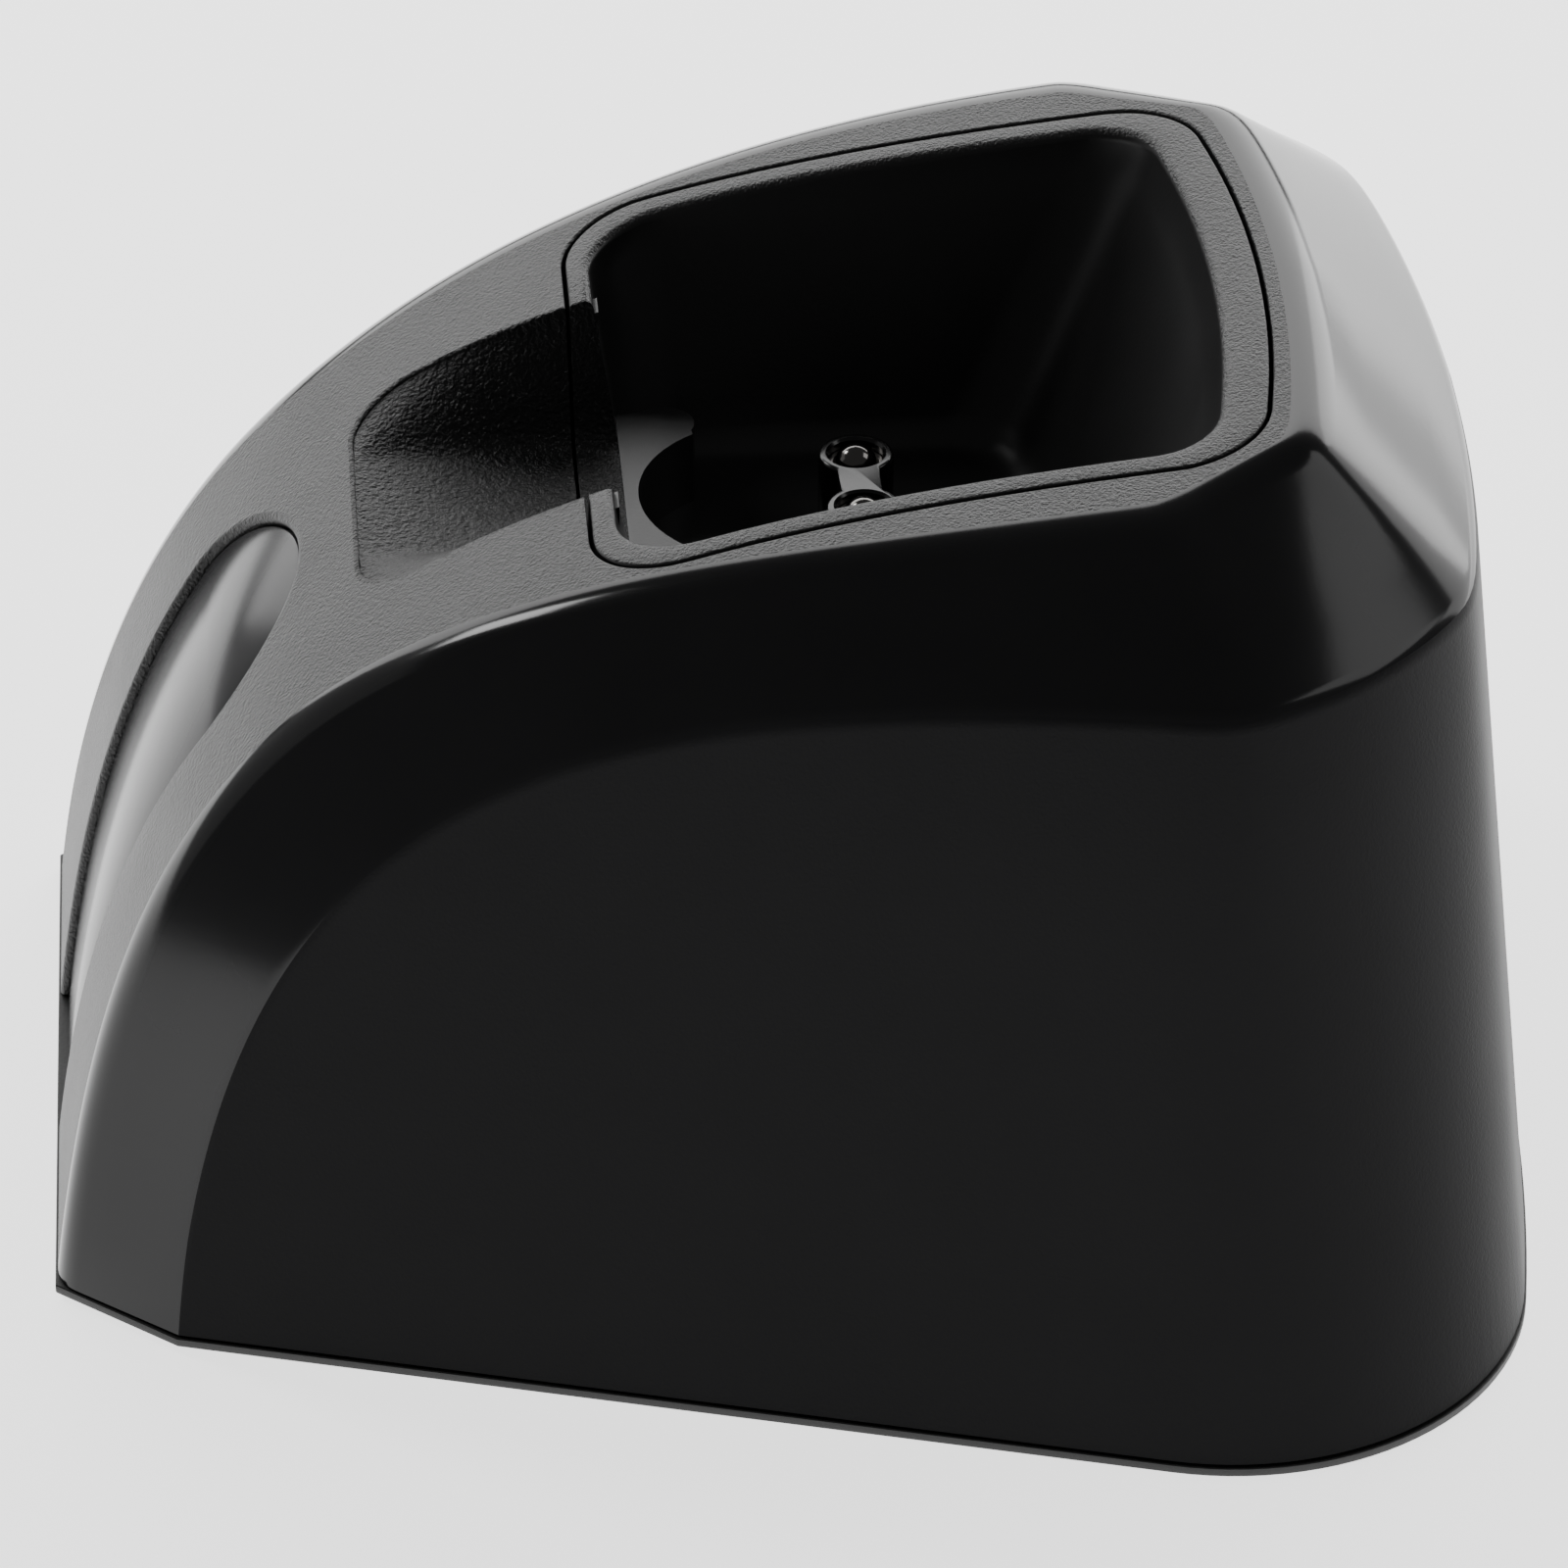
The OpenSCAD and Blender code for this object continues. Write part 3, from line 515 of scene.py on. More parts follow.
@dataclass
class StandForm:
    """The outer form of the stand, from which the housing, liner, badge and base take their shape.

    Sizes are in millimetres. The three overall sizes come from the frame.
    """

    long: float
    wide: float
    high: float
    wall: float = 2.6
    taper: float = math.radians(15.8)
    foot_corner: float = 28.2
    nose_wide: float = 71.0
    chamfer_back: float = 11.1
    crest_wide: float = 115.4
    crest_corner: float = 23.7
    crest_set_in: float = 7.5
    crest_drop: float = 12.7
    crest_lean: float = 6.1
    crest_bend_drop: float = 28.0
    crest_brow_back: float = 36.4
    crest_brow_drop: float = 15.9
    waist: float = 58.6
    ledge_wide: float = 80.0
    ledge_corner: float = 11.5
    ledge_set_in: float = 22.0
    ledge_rise: float = math.radians(8.45)
    nose_lean: float = 7.6
    nose_bend_drop: float = 25.7
    brow_back: float = 33.7
    brow_drop: float = 9.0
    crown_turn: float = math.radians(10)
    waist_at: float = 0.42
    facet_start: float = 3.2
    facet_flat: float = 0.5

    @classmethod
    def from_frame(cls) -> "StandForm":
        """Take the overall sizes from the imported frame."""
        low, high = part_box("base_plate")
        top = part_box("upper_housing")[1].z
        return cls(long=(high.y - low.y) / MM, wide=2 * (high.x / MM) + 0.13, high=top / MM)

    def __post_init__(self) -> None:
        """Work out the lines that the sizes give."""
        self.front = -self.long / 2
        self.rear = self.long / 2
        self.ledge_rear = self.rear - self.ledge_set_in
        self.crest_z = self.high - self.crest_drop
        self.foot_c = self.corner(self.wide / 2, self.foot_corner, self.rear)
        self.crest_c = self.corner(self.crest_wide / 2, self.crest_corner, self.rear - self.crest_set_in)
        self.ledge_c = self.corner(self.ledge_wide / 2, self.ledge_corner, self.ledge_rear)
        self.ledge_z0 = self.high - math.tan(self.ledge_rise) * (self.ledge_rear - self.ledge_c[1])
        self.foot_reach = self.reach(self.foot_c, self.foot_corner)
        self.crest_reach = self.reach(self.crest_c, self.crest_corner)
        chamfer = self.front + self.chamfer_back
        self.chamfer = chamfer
        self.band = np.array([
            (self.front, 0),
            (self.front + self.nose_lean, self.high - self.nose_bend_drop),
            (self.front + self.brow_back, self.high - self.brow_drop),
            (self.ledge_c[1], self.ledge_z0)], float)
        self.crest_start = self.crest_c[1] - self.crest_corner * math.sin(self.taper)
        self.crest = np.array([
            (chamfer, 0),
            (chamfer + self.crest_lean, self.high - self.crest_bend_drop),
            (chamfer + self.crest_brow_back, self.high - self.crest_brow_drop),
            (self.crest_start, self.crest_z)], float)
        self.table = np.linspace(0, 1, 2001)
        self.table_yz = np.array([cubic(t, self.band) for t in self.table])
        start = self.ledge_c[1] - self.facet_start - 1.6
        self.facet_t = float(np.interp(start, self.table_yz[:, 0], self.table))

    def corner(self, half: float, r: float, rear: float) -> tuple[float, float]:
        """Centre of a rear corner whose crowned edge ends at rear.

        Args:
            half: Half of the outline's width.
            r: Radius of the corner.
            rear: Y of the middle of the rear edge.

        Returns:
            X and Y of the centre.
        """
        x = half - r
        turn = self.crown_turn
        return x, rear - r * math.cos(turn) - math.tan(turn / 2) * (x + r * math.sin(turn))

    def reach(self, centre: tuple[float, float], r: float) -> float:
        """Half-width at which a tapered side meets the X axis."""
        return centre[0] + r / math.cos(self.taper) - math.tan(self.taper) * centre[1]

    def side_x(self, y: float, z: float) -> float:
        """Half-width of the drafted side wall at Y and Z."""
        lean = (self.foot_reach - self.crest_reach) * z / self.crest_z
        return self.foot_reach + math.tan(self.taper) * y - lean

    def rear_path(self, half: float, r: float, rear: float, taper: float, inset: float = 0.0,
                  steps: tuple[int, int] = (28, 14)) -> list:
        """Rear corner and crowned rear edge of an outline.

        Args:
            half: Half of the outline's width.
            r: Radius of its corner.
            rear: Y of the middle of its rear edge.
            taper: Angle of its side.
            inset: Distance that it is drawn in.
            steps: Steps round the corner and along the crown.

        Returns:
            Points as X and Y, from the side to the mirror plane.
        """
        cx, cy = self.corner(half, r, rear)
        rr, turn = r - inset, self.crown_turn
        crown = (cx + rr * math.sin(turn)) / math.sin(turn)
        crown_y = cy + rr * math.cos(turn) - crown * math.cos(turn)
        angles = np.linspace(-taper, math.pi / 2 - turn, steps[0] + 1)
        points = [(cx + rr * math.cos(a), cy + rr * math.sin(a)) for a in angles]
        for i in range(steps[1] - 1, -1, -1):
            a = turn * i / steps[1]
            points.append((crown * math.sin(a), crown_y + crown * math.cos(a)))
        return points

    @staticmethod
    def ease(line: list, at: int) -> None:
        """Round a line's bend in plan, in place.

        Args:
            line: Points of the line.
            at: Number of the point at the bend.
        """
        for _ in range(EASE_PASSES):
            wide = [p[0] for p in line]
            for i in range(at - 5, min(at + 11, len(line) - 2)):
                x = (wide[i - 1] + 2 * wide[i] + wide[i + 1]) / 4
                line[i] = (x, line[i][1], line[i][2])

    def faceted(self, args: tuple, inset: float, steps: tuple, flat: float, early: float) -> list:
        """Rear path whose corner is flattened into a facet.

        Args:
            args: Half-width, corner radius, rear Y and taper of the outline.
            inset: Distance that it is drawn in.
            steps: Steps round the corner and along the crown.
            flat: How far the corner's arc goes towards its chord.
            early: Distance ahead of the corner's centre at which the facet starts.

        Returns:
            Points as X and Y, from the side to the mirror plane.
        """
        half, r, rear, taper = args
        path = np.array(self.rear_path(half, r, rear, taper, inset, steps))
        angles = np.linspace(-taper, math.pi / 2 - self.crown_turn, steps[0] + 1)
        cx, cy = self.corner(half, r, rear)
        start, end = np.array([cx + r - inset, cy - early]), path[steps[0]]
        done = np.clip(angles / angles[-1], 0, 1)
        chord = start + done[:, None] * (end - start)
        before = angles < 0
        if early:
            chord[before] = start - np.outer(-angles[before] / taper, (0, 1.6))
            path[: steps[0] + 1] = chord
        else:
            weight = np.where(before, 0.0, flat)[:, None]
            path[: steps[0] + 1] = (1 - weight) * path[: steps[0] + 1] + weight * chord
        soft = path.copy()
        for _ in range(5 if early else 6):
            soft[1:-1] = (soft[:-2] + 2 * soft[1:-1] + soft[2:]) / 4
        soft[-1] = path[-1]
        return [tuple(point) for point in soft]

    def skin_z(self, y: float) -> float:
        """Height of the grained band at Y."""
        if y > self.ledge_c[1]:
            return self.ledge_z0 + math.tan(self.ledge_rise) * (y - self.ledge_c[1])
        return float(np.interp(y, self.table_yz[:, 0], self.table_yz[:, 1]))

    def band_at_height(self, z: float, depth: float) -> tuple[float, float]:
        """Point of the front face at a height, at a depth below the surface.

        Args:
            z: Height on the surface.
            depth: Depth along the surface's normal.

        Returns:
            Y and Z of the point.
        """
        t = float(np.interp(z, self.table_yz[:, 1], self.table))
        y, height = cubic(t, self.band)
        if z < 0:
            height = z
        way = cubic_way(t, self.band)
        return y + depth * way[1], height - depth * way[0]

    def stations(self, fine: int) -> list[tuple[float, float]]:
        """Places along the arch and the band's half-width there.

        Args:
            fine: Number of steps in each of the two stretches.

        Returns:
            Pairs of place and half-width.
        """
        fall_t, rise_t = (0, 0.1, 0.16, self.waist_at), (self.waist_at, 0.6, 0.8, 1)
        nose, waist, ledge = self.nose_wide / 2, self.waist / 2, self.ledge_wide / 2
        fall = [(cubic(s, fall_t), cubic(s, (nose, nose, waist, waist))) for s in np.linspace(0, 1, fine)]
        rise = [(cubic(s, rise_t), cubic(s, (waist, waist, ledge, ledge))) for s in np.linspace(0, 1, fine)]
        return fall + rise[1:]

    def lines(self, inset: float = 0.0, fine: int = 56, steps: tuple = (28, 14), edge: float = 0.0):
        """Four lines round the right half: an inner line of the band, its edge, the crest and the foot.

        Args:
            inset: Distance that the whole form is drawn in.
            fine: Number of steps in each stretch of the arch.
            steps: Steps round the rear corner and along the crown.
            edge: Distance of the inner line from the band's edge.

        Returns:
            Four lists of points.
        """
        inner, band, crest, foot = [], [], [], []
        low = -1.0 if inset else 0.0
        foot_start = self.foot_c[1] - self.foot_corner * math.sin(self.taper)
        for t, half in self.stations(fine):
            start = t == 0
            own = t - max(0.0, t - 0.7) * (1 - self.facet_t) / 0.3
            way = cubic_way(own, self.band)
            y, z = cubic(own, self.band) + inset * np.array([way[1], -way[0]])
            z = low if start else z
            x = half - 0.4 * inset
            band.append((x, y, z))
            inner.append((x - edge, y, z))
            way = cubic_way(t, self.crest)
            cy, cz = cubic(t, self.crest) + 0.5 * inset * np.array([way[1], -way[0]])
            crest.append((self.side_x(cy, cz) - inset, cy, low if start else cz))
            done = (cubic(t, self.crest)[0] - self.chamfer) / (self.crest_start - self.chamfer)
            fy = self.chamfer + 0.5 * inset * (1 - done) + done * (foot_start - self.chamfer)
            foot.append((self.side_x(fy, 0) - inset / math.cos(self.taper), fy, low))
        args = (self.ledge_wide / 2, self.ledge_corner, self.ledge_rear, self.taper)
        for line, extra in ((band, 0.0), (inner, edge)):
            for x, y in self.faceted(args, 0.4 * inset + extra, steps, 1.0, self.facet_start)[1:]:
                line.append((x, y, self.skin_z(y) - inset))
            self.ease(line, 2 * fine - 2)
        args = (self.crest_wide / 2, self.crest_corner, self.rear - self.crest_set_in, self.taper)
        for x, y in self.faceted(args, 0.95 * inset, steps, self.facet_flat, 0.0)[1:]:
            crest.append((x, y, self.crest_z - 0.5 * inset))
        for x, y in self.rear_path(self.wide / 2, self.foot_corner, self.rear, self.taper, inset, steps)[1:]:
            foot.append((x, y, low))
        return inner, band, crest, foot

    def solid(self, name: str, inset: float = 0.0, edge: float = 0.0, crest_edge: float = 0.0,
              fine: int = 56, steps: tuple = (28, 14), tags: tuple = (0, 0, 0)) -> bpy.types.Object:
        """Make the outer form, or the form drawn in, as one closed solid with rounded edges.

        Args:
            name: Name of the object.
            inset: Distance that it is drawn in.
            edge: Width of the rounding along the band's edge.
            crest_edge: Width of the rounding along the crest.
            fine: Number of steps in each stretch of the arch.
            steps: Steps round the rear corner and along the crown.
            tags: Material numbers of the band, the bevels and the walls.

        Returns:
            The object.
        """
        inner, band, crest, foot = self.lines(inset, fine, steps, edge)
        rows, row_tags = [], []
        for i, (a, b, c, d) in enumerate(zip(inner, band, crest, foot)):
            a, b, c, d = (np.array(v, float) for v in (a, b, c, d))
            ramp = min(1.0, i / 14)
            bevel = (c - b) / max(np.linalg.norm(c - b), 1e-6)
            wall = (d - c) / max(np.linalg.norm(d - c), 1e-6)
            after_band = b + bevel * edge
            before_crest = c - bevel * crest_edge * ramp
            after_crest = c + wall * min(crest_edge * ramp, np.linalg.norm(d - c) / 2)
            row, row_tags = [a], []
            if edge:
                for s in np.linspace(0, 1, 9)[1:]:
                    row.append((1 - s) ** 2 * a + 2 * s * (1 - s) * b + s * s * after_band)
                    row_tags.append(tags[1])
            for s in np.linspace(0, 1, 5)[1:]:
                row.append(after_band + s * (before_crest - after_band))
                row_tags.append(tags[1])
            if crest_edge:
                for s in np.linspace(0, 1, 7)[1:]:
                    row.append((1 - s) ** 2 * before_crest + 2 * s * (1 - s) * c + s * s * after_crest)
                    row_tags.append(tags[1] if s <= 0.5 else tags[2])
            for s in np.linspace(0, 1, 5)[1:]:
                row.append(after_crest + s * (d - after_crest))
                row_tags.append(tags[2])
            rows.append(np.array(row))
        flip = np.array([-1, 1, 1])
        full = rows + [row * flip for row in reversed(rows[:-1])]
        m, k = len(full), len(full[0])
        faces, face_tags = [], []
        for i in range(m - 1):
            for j in range(k - 1):
                a = i * k + j
                faces.append([a, a + 1, a + k + 1, a + k])
                face_tags.append(row_tags[j])
        for i in range((m - 1) // 2):
            faces.append([i * k, (i + 1) * k, (m - 2 - i) * k, (m - 1 - i) * k])
            face_tags.append(tags[0])
        return mend(make_mesh(name, np.vstack(full), faces, face_tags), fill=True)

    def outline(self, half: float, front: float, rear: float, front_r: float, rear_r: float,
                grow: float = 0.0) -> np.ndarray:
        """Outline of the well or of its lip, seen from above.

        Args:
            half: Half of its width.
            front: Y of its front edge.
            rear: Y of the middle of its rear edge.
            front_r: Radius of its front corners.
            rear_r: Radius of its rear corners.
            grow: Distance that it is grown by.

        Returns:
            Its points as X and Y.
        """
        turn = np.linspace(-math.pi / 2, 0, 21)
        corner = [(half - front_r + (front_r + grow) * math.cos(a),
                   front + front_r + (front_r + grow) * math.sin(a)) for a in turn]
        rear_part = self.rear_path(half, rear_r, rear, 0.0, -grow, (20, 12))
        straight = [(half + grow, y) for y in np.linspace(corner[-1][1], rear_part[0][1], 12)[1:-1]]
        return mirrored(corner + straight + rear_part)

    def on_skin(self, outline: np.ndarray, depth: float) -> np.ndarray:
        """Lay an outline on the band's surface.

        Args:
            outline: Points as X and Y.
            depth: Depth below the surface.

        Returns:
            Points as X, Y and Z.
        """
        return np.array([(x, y, self.skin_z(y) - depth) for x, y in outline])


def level(outline: np.ndarray, z: float) -> np.ndarray:
    """Lay an outline at one height."""
    return np.column_stack([outline, np.full(len(outline), z)])


# ---------------------------------------------------------------- the well and the trough


@dataclass
class Well:
    """Sizes and cutters of the well, its lip and the trough in front of it, in millimetres."""

    form: StandForm
    lip_wide: float = 64.8
    lip_long: float = 61.8
    lip_margin: float = 4.0
    front_r: float = 8.0
    rear_r: float = 9.0
    gap: float = 0.35
    lip_side: float = 3.1
    lip_front: float = 2.3
    lip_rear: float = 4.3
    depth: float = 30.0
    floor_wide: float = 40.0
    front_run: float = 3.0
    rear_run: float = 14.2
    thick: float = 2.0
    trough_in: float = 30.6
    trough_wide: float = 33.6
    trough_floor: float = 18.0
    trough_r: float = 6.0
    crescent_r: float = 13.0
    crescent_wide: float = 24.0

    def __post_init__(self) -> None:
        """Work out the places that the sizes give."""
        self.rear = self.form.ledge_rear - self.lip_margin
        self.front = self.rear - self.lip_long
        self.rim_front = self.front + self.lip_front
        self.rim_rear = self.rear - self.lip_rear
        self.floor_z = self.form.high - self.depth
        self.trough_y = self.form.front + self.trough_in
        self.trough_z = self.form.skin_z(self.trough_y) - self.gap
        self.trough_end = self.rim_front + self.front_run + 1

    def lip(self, grow: float = 0.0) -> np.ndarray:
        """Outer outline of the lip."""
        return self.form.outline(self.lip_wide / 2, self.front, self.rear, self.front_r, self.rear_r, grow)

    def rim(self, grow: float = 0.0) -> np.ndarray:
        """Inner outline of the lip."""
        return self.form.outline(self.lip_wide / 2 - self.lip_side, self.rim_front, self.rim_rear,
                                 self.front_r - 1, self.rear_r - self.lip_front, grow)

    def floor(self, grow: float = 0.0) -> np.ndarray:
        """Outline of the well's floor."""
        return self.form.outline(self.floor_wide / 2, self.rim_front + self.front_run,
                                 self.rim_rear - self.rear_run, self.front_r - self.lip_front,
                                 self.front_r, grow)

    def trough_outline(self, half: float, r: float, grow: float) -> np.ndarray:
        """Outline of the trough, seen from above.

        Args:
            half: Half of its width.
            r: Radius of its front corners.
            grow: Distance that it is grown by.

        Returns:
            Its points as X and Y.
        """
        front = self.trough_y - grow
        turn = np.linspace(-math.pi / 2, 0, 21)
        corner = [(half + grow - r + r * math.cos(a), front + r + r * math.sin(a)) for a in turn]
        side = [(half + grow, y) for y in np.linspace(corner[-1][1], self.trough_end, 16)[1:]]
        return mirrored(corner + side)

    def trough(self, name: str, grow: float = 0.0, edge: float = 0.55) -> bpy.types.Object:
        """Make the trough's open space, or its outer form when grown.

        Args:
            name: Name of the object.
            grow: Distance that it is grown by.
            edge: Radius of its upper edge.

        Returns:
            The object.
        """
        low = self.trough_outline(self.trough_floor / 2, self.trough_r / 2, grow)
        top = self.trough_outline(self.trough_wide / 2, self.trough_r, grow)
        base = level(low, self.trough_z - grow)
        shoulder = self.form.on_skin(top, 0.0 if grow else edge * 0.6)
        rings = []
        for s in np.linspace(0, 1, 7):
            rise = TROUGH_FOOT_RISE * s * s
            ring = base + (rise - TROUGH_FOOT_RUN * (1 - s) ** 2) * (shoulder - base)
            ring[:, 2] = base[:, 2] + rise * (shoulder[:, 2] - base[:, 2])
            rings.append(ring)
        for s in np.linspace(TROUGH_FOOT_RISE, 1, 7)[1:]:
            rings.append(base + s * (shoulder - base))
        if grow:
            rings.append(level(top, self.form.high + SKY))
            return ring_solid(name, rings, Finish.INSIDE.value)
        for wide, deep in rounding(edge, 5)[1:]:
            out = self.trough_outline(self.trough_wide / 2, self.trough_r, wide)
            rings.append(self.form.on_skin(out, deep * 0.6))
        mouth = self.trough_outline(self.trough_wide / 2, self.trough_r, edge)
        rings.append(level(mouth, self.form.high + SKY))
        return ring_solid(name, rings, Finish.TROUGH.value)

    def opening(self, name: str) -> bpy.types.Object:
        """Make the space of the housing's opening for the liner.

        Args:
            name: Name of the object.

        Returns:
            The object.
        """
        rings = [level(self.lip(self.gap), self.trough_z - 3), self.form.on_skin(self.lip(self.gap), 3.0)]
        rings += [self.form.on_skin(self.lip(self.gap + w), d) for w, d in rounding(0.3, 5)]
        rings.append(level(self.lip(self.gap + 0.42), self.form.high + SKY))
        return ring_solid(name, rings, Finish.BAND.value)


@dataclass
class Housing:
    """The upper housing: grained band, bevels, crest, walls, trough and badge recess."""

    form: StandForm
    well: Well
    badge: "Badge"
    band_edge: float = 2.3
    crest_edge: float = 1.3
    seam_z: float = 1.7

    def build(self) -> bpy.types.Object:
        """Make and dress the housing.

        Returns:
            The finished piece.
        """
        tags = (Finish.BAND.value, Finish.GLOSS.value, Finish.WALL.value)
        inside = (Finish.INSIDE.value,) * 3
        shell = self.form.solid("housing_shell", edge=self.band_edge, crest_edge=self.crest_edge, tags=tags)
        cavity = self.form.solid("cavity", inset=self.form.wall, fine=16, steps=(12, 6), tags=inside)
        combine(shell, cavity, Join.CUT)
        self._cut_inlet(shell)
        lining = self.form.solid("lining", inset=self.form.wall / 2, fine=16, steps=(12, 6), tags=inside)
        combine(lining, self.well.trough("trough_lining", 2.0), Join.COMMON)
        combine(shell, lining, Join.ADD)
        self._add_bosses(shell)
        combine(shell, self.well.trough("trough_space"), Join.CUT)
        combine(shell, self.well.opening("opening_space"), Join.CUT)
        combine(shell, self.badge.pocket("badge_pocket"), Join.CUT)
        combine(shell, self._below("below"), Join.CUT)
        dress(shell, [m.build() for m in (BAND_PLASTIC, GLOSS_PLASTIC, WALL_PLASTIC, TROUGH_PLASTIC,
                                          INSIDE_PLASTIC)])
        self._steady_shading(shell)
        finish_piece(shell, ["upper_housing"])
        return shell

    def _below(self, name: str) -> bpy.types.Object:
        """Make the block under the housing's lower edge."""
        w, y = self.form.wide, self.form.long
        ring = np.array([(-w, -y), (w, -y), (w, y), (-w, y)], float)
        return ring_solid(name, [level(ring, -20), level(ring, self.seam_z)], Finish.WALL.value)

    def _add_bosses(self, shell: bpy.types.Object) -> None:
        """Add the four tall screw bosses inside.

        Args:
            shell: The housing so far.
        """
        low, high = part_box("base_screws")
        front, rear = low.y / MM + 2.8, high.y / MM - 2.8
        front_x = self.form.side_x(front, 0) - 13
        for x, y in ((front_x, front), (self.form.wide / 2 - 13, rear)):
            for side in (-1, 1):
                profile = [(4, 3.2), (4, 22)]
                post = round_solid("boss", profile, (side * x, y), 24)
                bore = round_solid("bore", [(1.5, 0), (1.5, 13)], (side * x, y), 24)
                for piece in (post, bore):
                    piece.data.polygons.foreach_set(
                        "material_index", [Finish.INSIDE.value] * len(piece.data.polygons))
                combine(post, bore, Join.CUT)
                combine(shell, post, Join.ADD)

    def _cut_inlet(self, shell: bpy.types.Object) -> None:
        """Cut the round recess and the hole for the power inlet.

        Args:
            shell: The housing so far.
        """
        low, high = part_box("power_jack")
        z = 14.0
        face = high.y / MM
        cut = round_solid("inlet_cut", [(4.25, face - 12), (4.25, face - 0.4), (4.6, face - 0.05),
                                        (6.3, face + 0.05), (6.5, face + 0.3), (6.5, face + 12)], (0, 0), 72)
        turned(cut, [(1, 0, 0, 0), (0, 0, 1, 0), (0, -1, 0, z)])
        tag = [Finish.WALL.value] * len(cut.data.polygons)
        cut.data.polygons.foreach_set("material_index", tag)
        combine(shell, cut, Join.CUT)

    def _steady_shading(self, shell: bpy.types.Object) -> None:
        """Give the band's faces the normals of its true curve.

        Args:
            shell: The finished housing.
        """
        mesh = shell.data
        normals = np.zeros((len(mesh.loops), 3))
        form = self.form
        for face in mesh.polygons:
            if face.material_index != Finish.BAND.value or abs(face.normal.x) > 0.05:
                continue
            for loop in face.loop_indices:
                co = mesh.vertices[mesh.loops[loop].vertex_index].co / MM
                if abs(form.skin_z(co.y) - co.z) > 0.08 and co.z > 8:
                    break
                if co.y > form.ledge_c[1]:
                    way = (math.cos(form.ledge_rise), math.sin(form.ledge_rise))
                else:
                    t = float(np.interp(co.z, form.table_yz[:, 1], form.table))
                    way = cubic_way(t, form.band)
                normals[loop] = (0, -way[1], way[0])
        mesh.normals_split_custom_set(normals.tolist())


@dataclass
class Badge:
    """The blank inset on the front face and its recess."""

    form: StandForm
    wide: float = 29.0
    foot_wide: float = 20.6
    shoulder: float = 48.0
    crown: float = 10.0
    drop: float = 0.8
    thick: float = 0.8
    edge: float = 0.75
    seam_z: float = 1.7

    def outline(self, grow: float, foot: float) -> np.ndarray:
        """Outline of the badge, looking at the front.

        Args:
            grow: Distance that it is grown by.
            foot: Height of its lower end.

        Returns:
            Its points as X and Z.
        """
        turn = np.linspace(0, math.pi / 2, 33)
        side_z = np.linspace(foot, self.shoulder, 40)
        slope = (self.wide - self.foot_wide) / 2 / self.shoulder
        side = [(self.foot_wide / 2 + slope * max(z, 0) + grow, z) for z in side_z]
        top = [((self.wide / 2 + grow) * math.cos(a), self.shoulder + (self.crown + grow) * math.sin(a))
               for a in turn[1:]]
        return mirrored(side + [(max(x, 0.0) if x > 1e-6 else 0.0, z) for x, z in top])

    def laid(self, outline: np.ndarray, depth: float) -> np.ndarray:
        """Lay an outline on the front face.

        Args:
            outline: Points as X and Z.
            depth: Depth below the surface.

        Returns:
            Points as X, Y and Z.
        """
        return np.array([(x, *self.form.band_at_height(z, depth)) for x, z in outline])

    def sheet(self, name: str, profile: list, foot: float, tag: int) -> bpy.types.Object:
        """Make a closed solid that follows the front face.

        Args:
            name: Name of the object.
            profile: Pairs of growth and depth, the deepest first.
            foot: Height of its lower end.
            tag: Material number.

        Returns:
            The object.
        """
        rings = [self.laid(self.outline(grow, foot), depth) for grow, depth in profile]
        size = len(rings[0])
        count = len(rings)
        faces = []
        for j in range(count - 1):
            for i in range(size):
                a, b = j * size + i, j * size + (i + 1) % size
                faces.append([a, b, b + size, a + size])
        for j in (0, count - 1):
            for i in range(size // 2):
                a, b = j * size + i, j * size + i + 1
                c, d = j * size + size - 2 - i, j * size + size - 1 - i
                if len({a, b, c, d}) >= 3 and b <= c:
                    faces.append(list(dict.fromkeys([a, b, c, d])))
        return mend(make_mesh(name, np.vstack(rings), faces, [tag] * len(faces)), fill=True)

    def pocket(self, name: str) -> bpy.types.Object:
        """Make the recess with its rolled edge."""
        deep = self.drop + self.thick + 0.05
        profile = [(0.15, deep), (0.15, self.drop + 0.05)]
        profile += [(0.15 + w, d) for w, d in rounding(self.edge, 7)]
        return self.sheet(name, profile, -1.0, Finish.BAND.value)

    def build(self) -> bpy.types.Object:
        """Make and dress the badge.

        Returns:
            The finished piece.
        """
        soft = 0.3
        profile = [(0.0, self.drop + self.thick), (0.0, self.drop + soft), (-0.1, self.drop + 0.1),
                   (-soft, self.drop)]
        plate = self.sheet("badge_plate_face", profile, self.seam_z + 0.1, 0)
        dress(plate, [BADGE_PLASTIC.build()])
        finish_piece(plate, ["badge_plate"])
        return plate


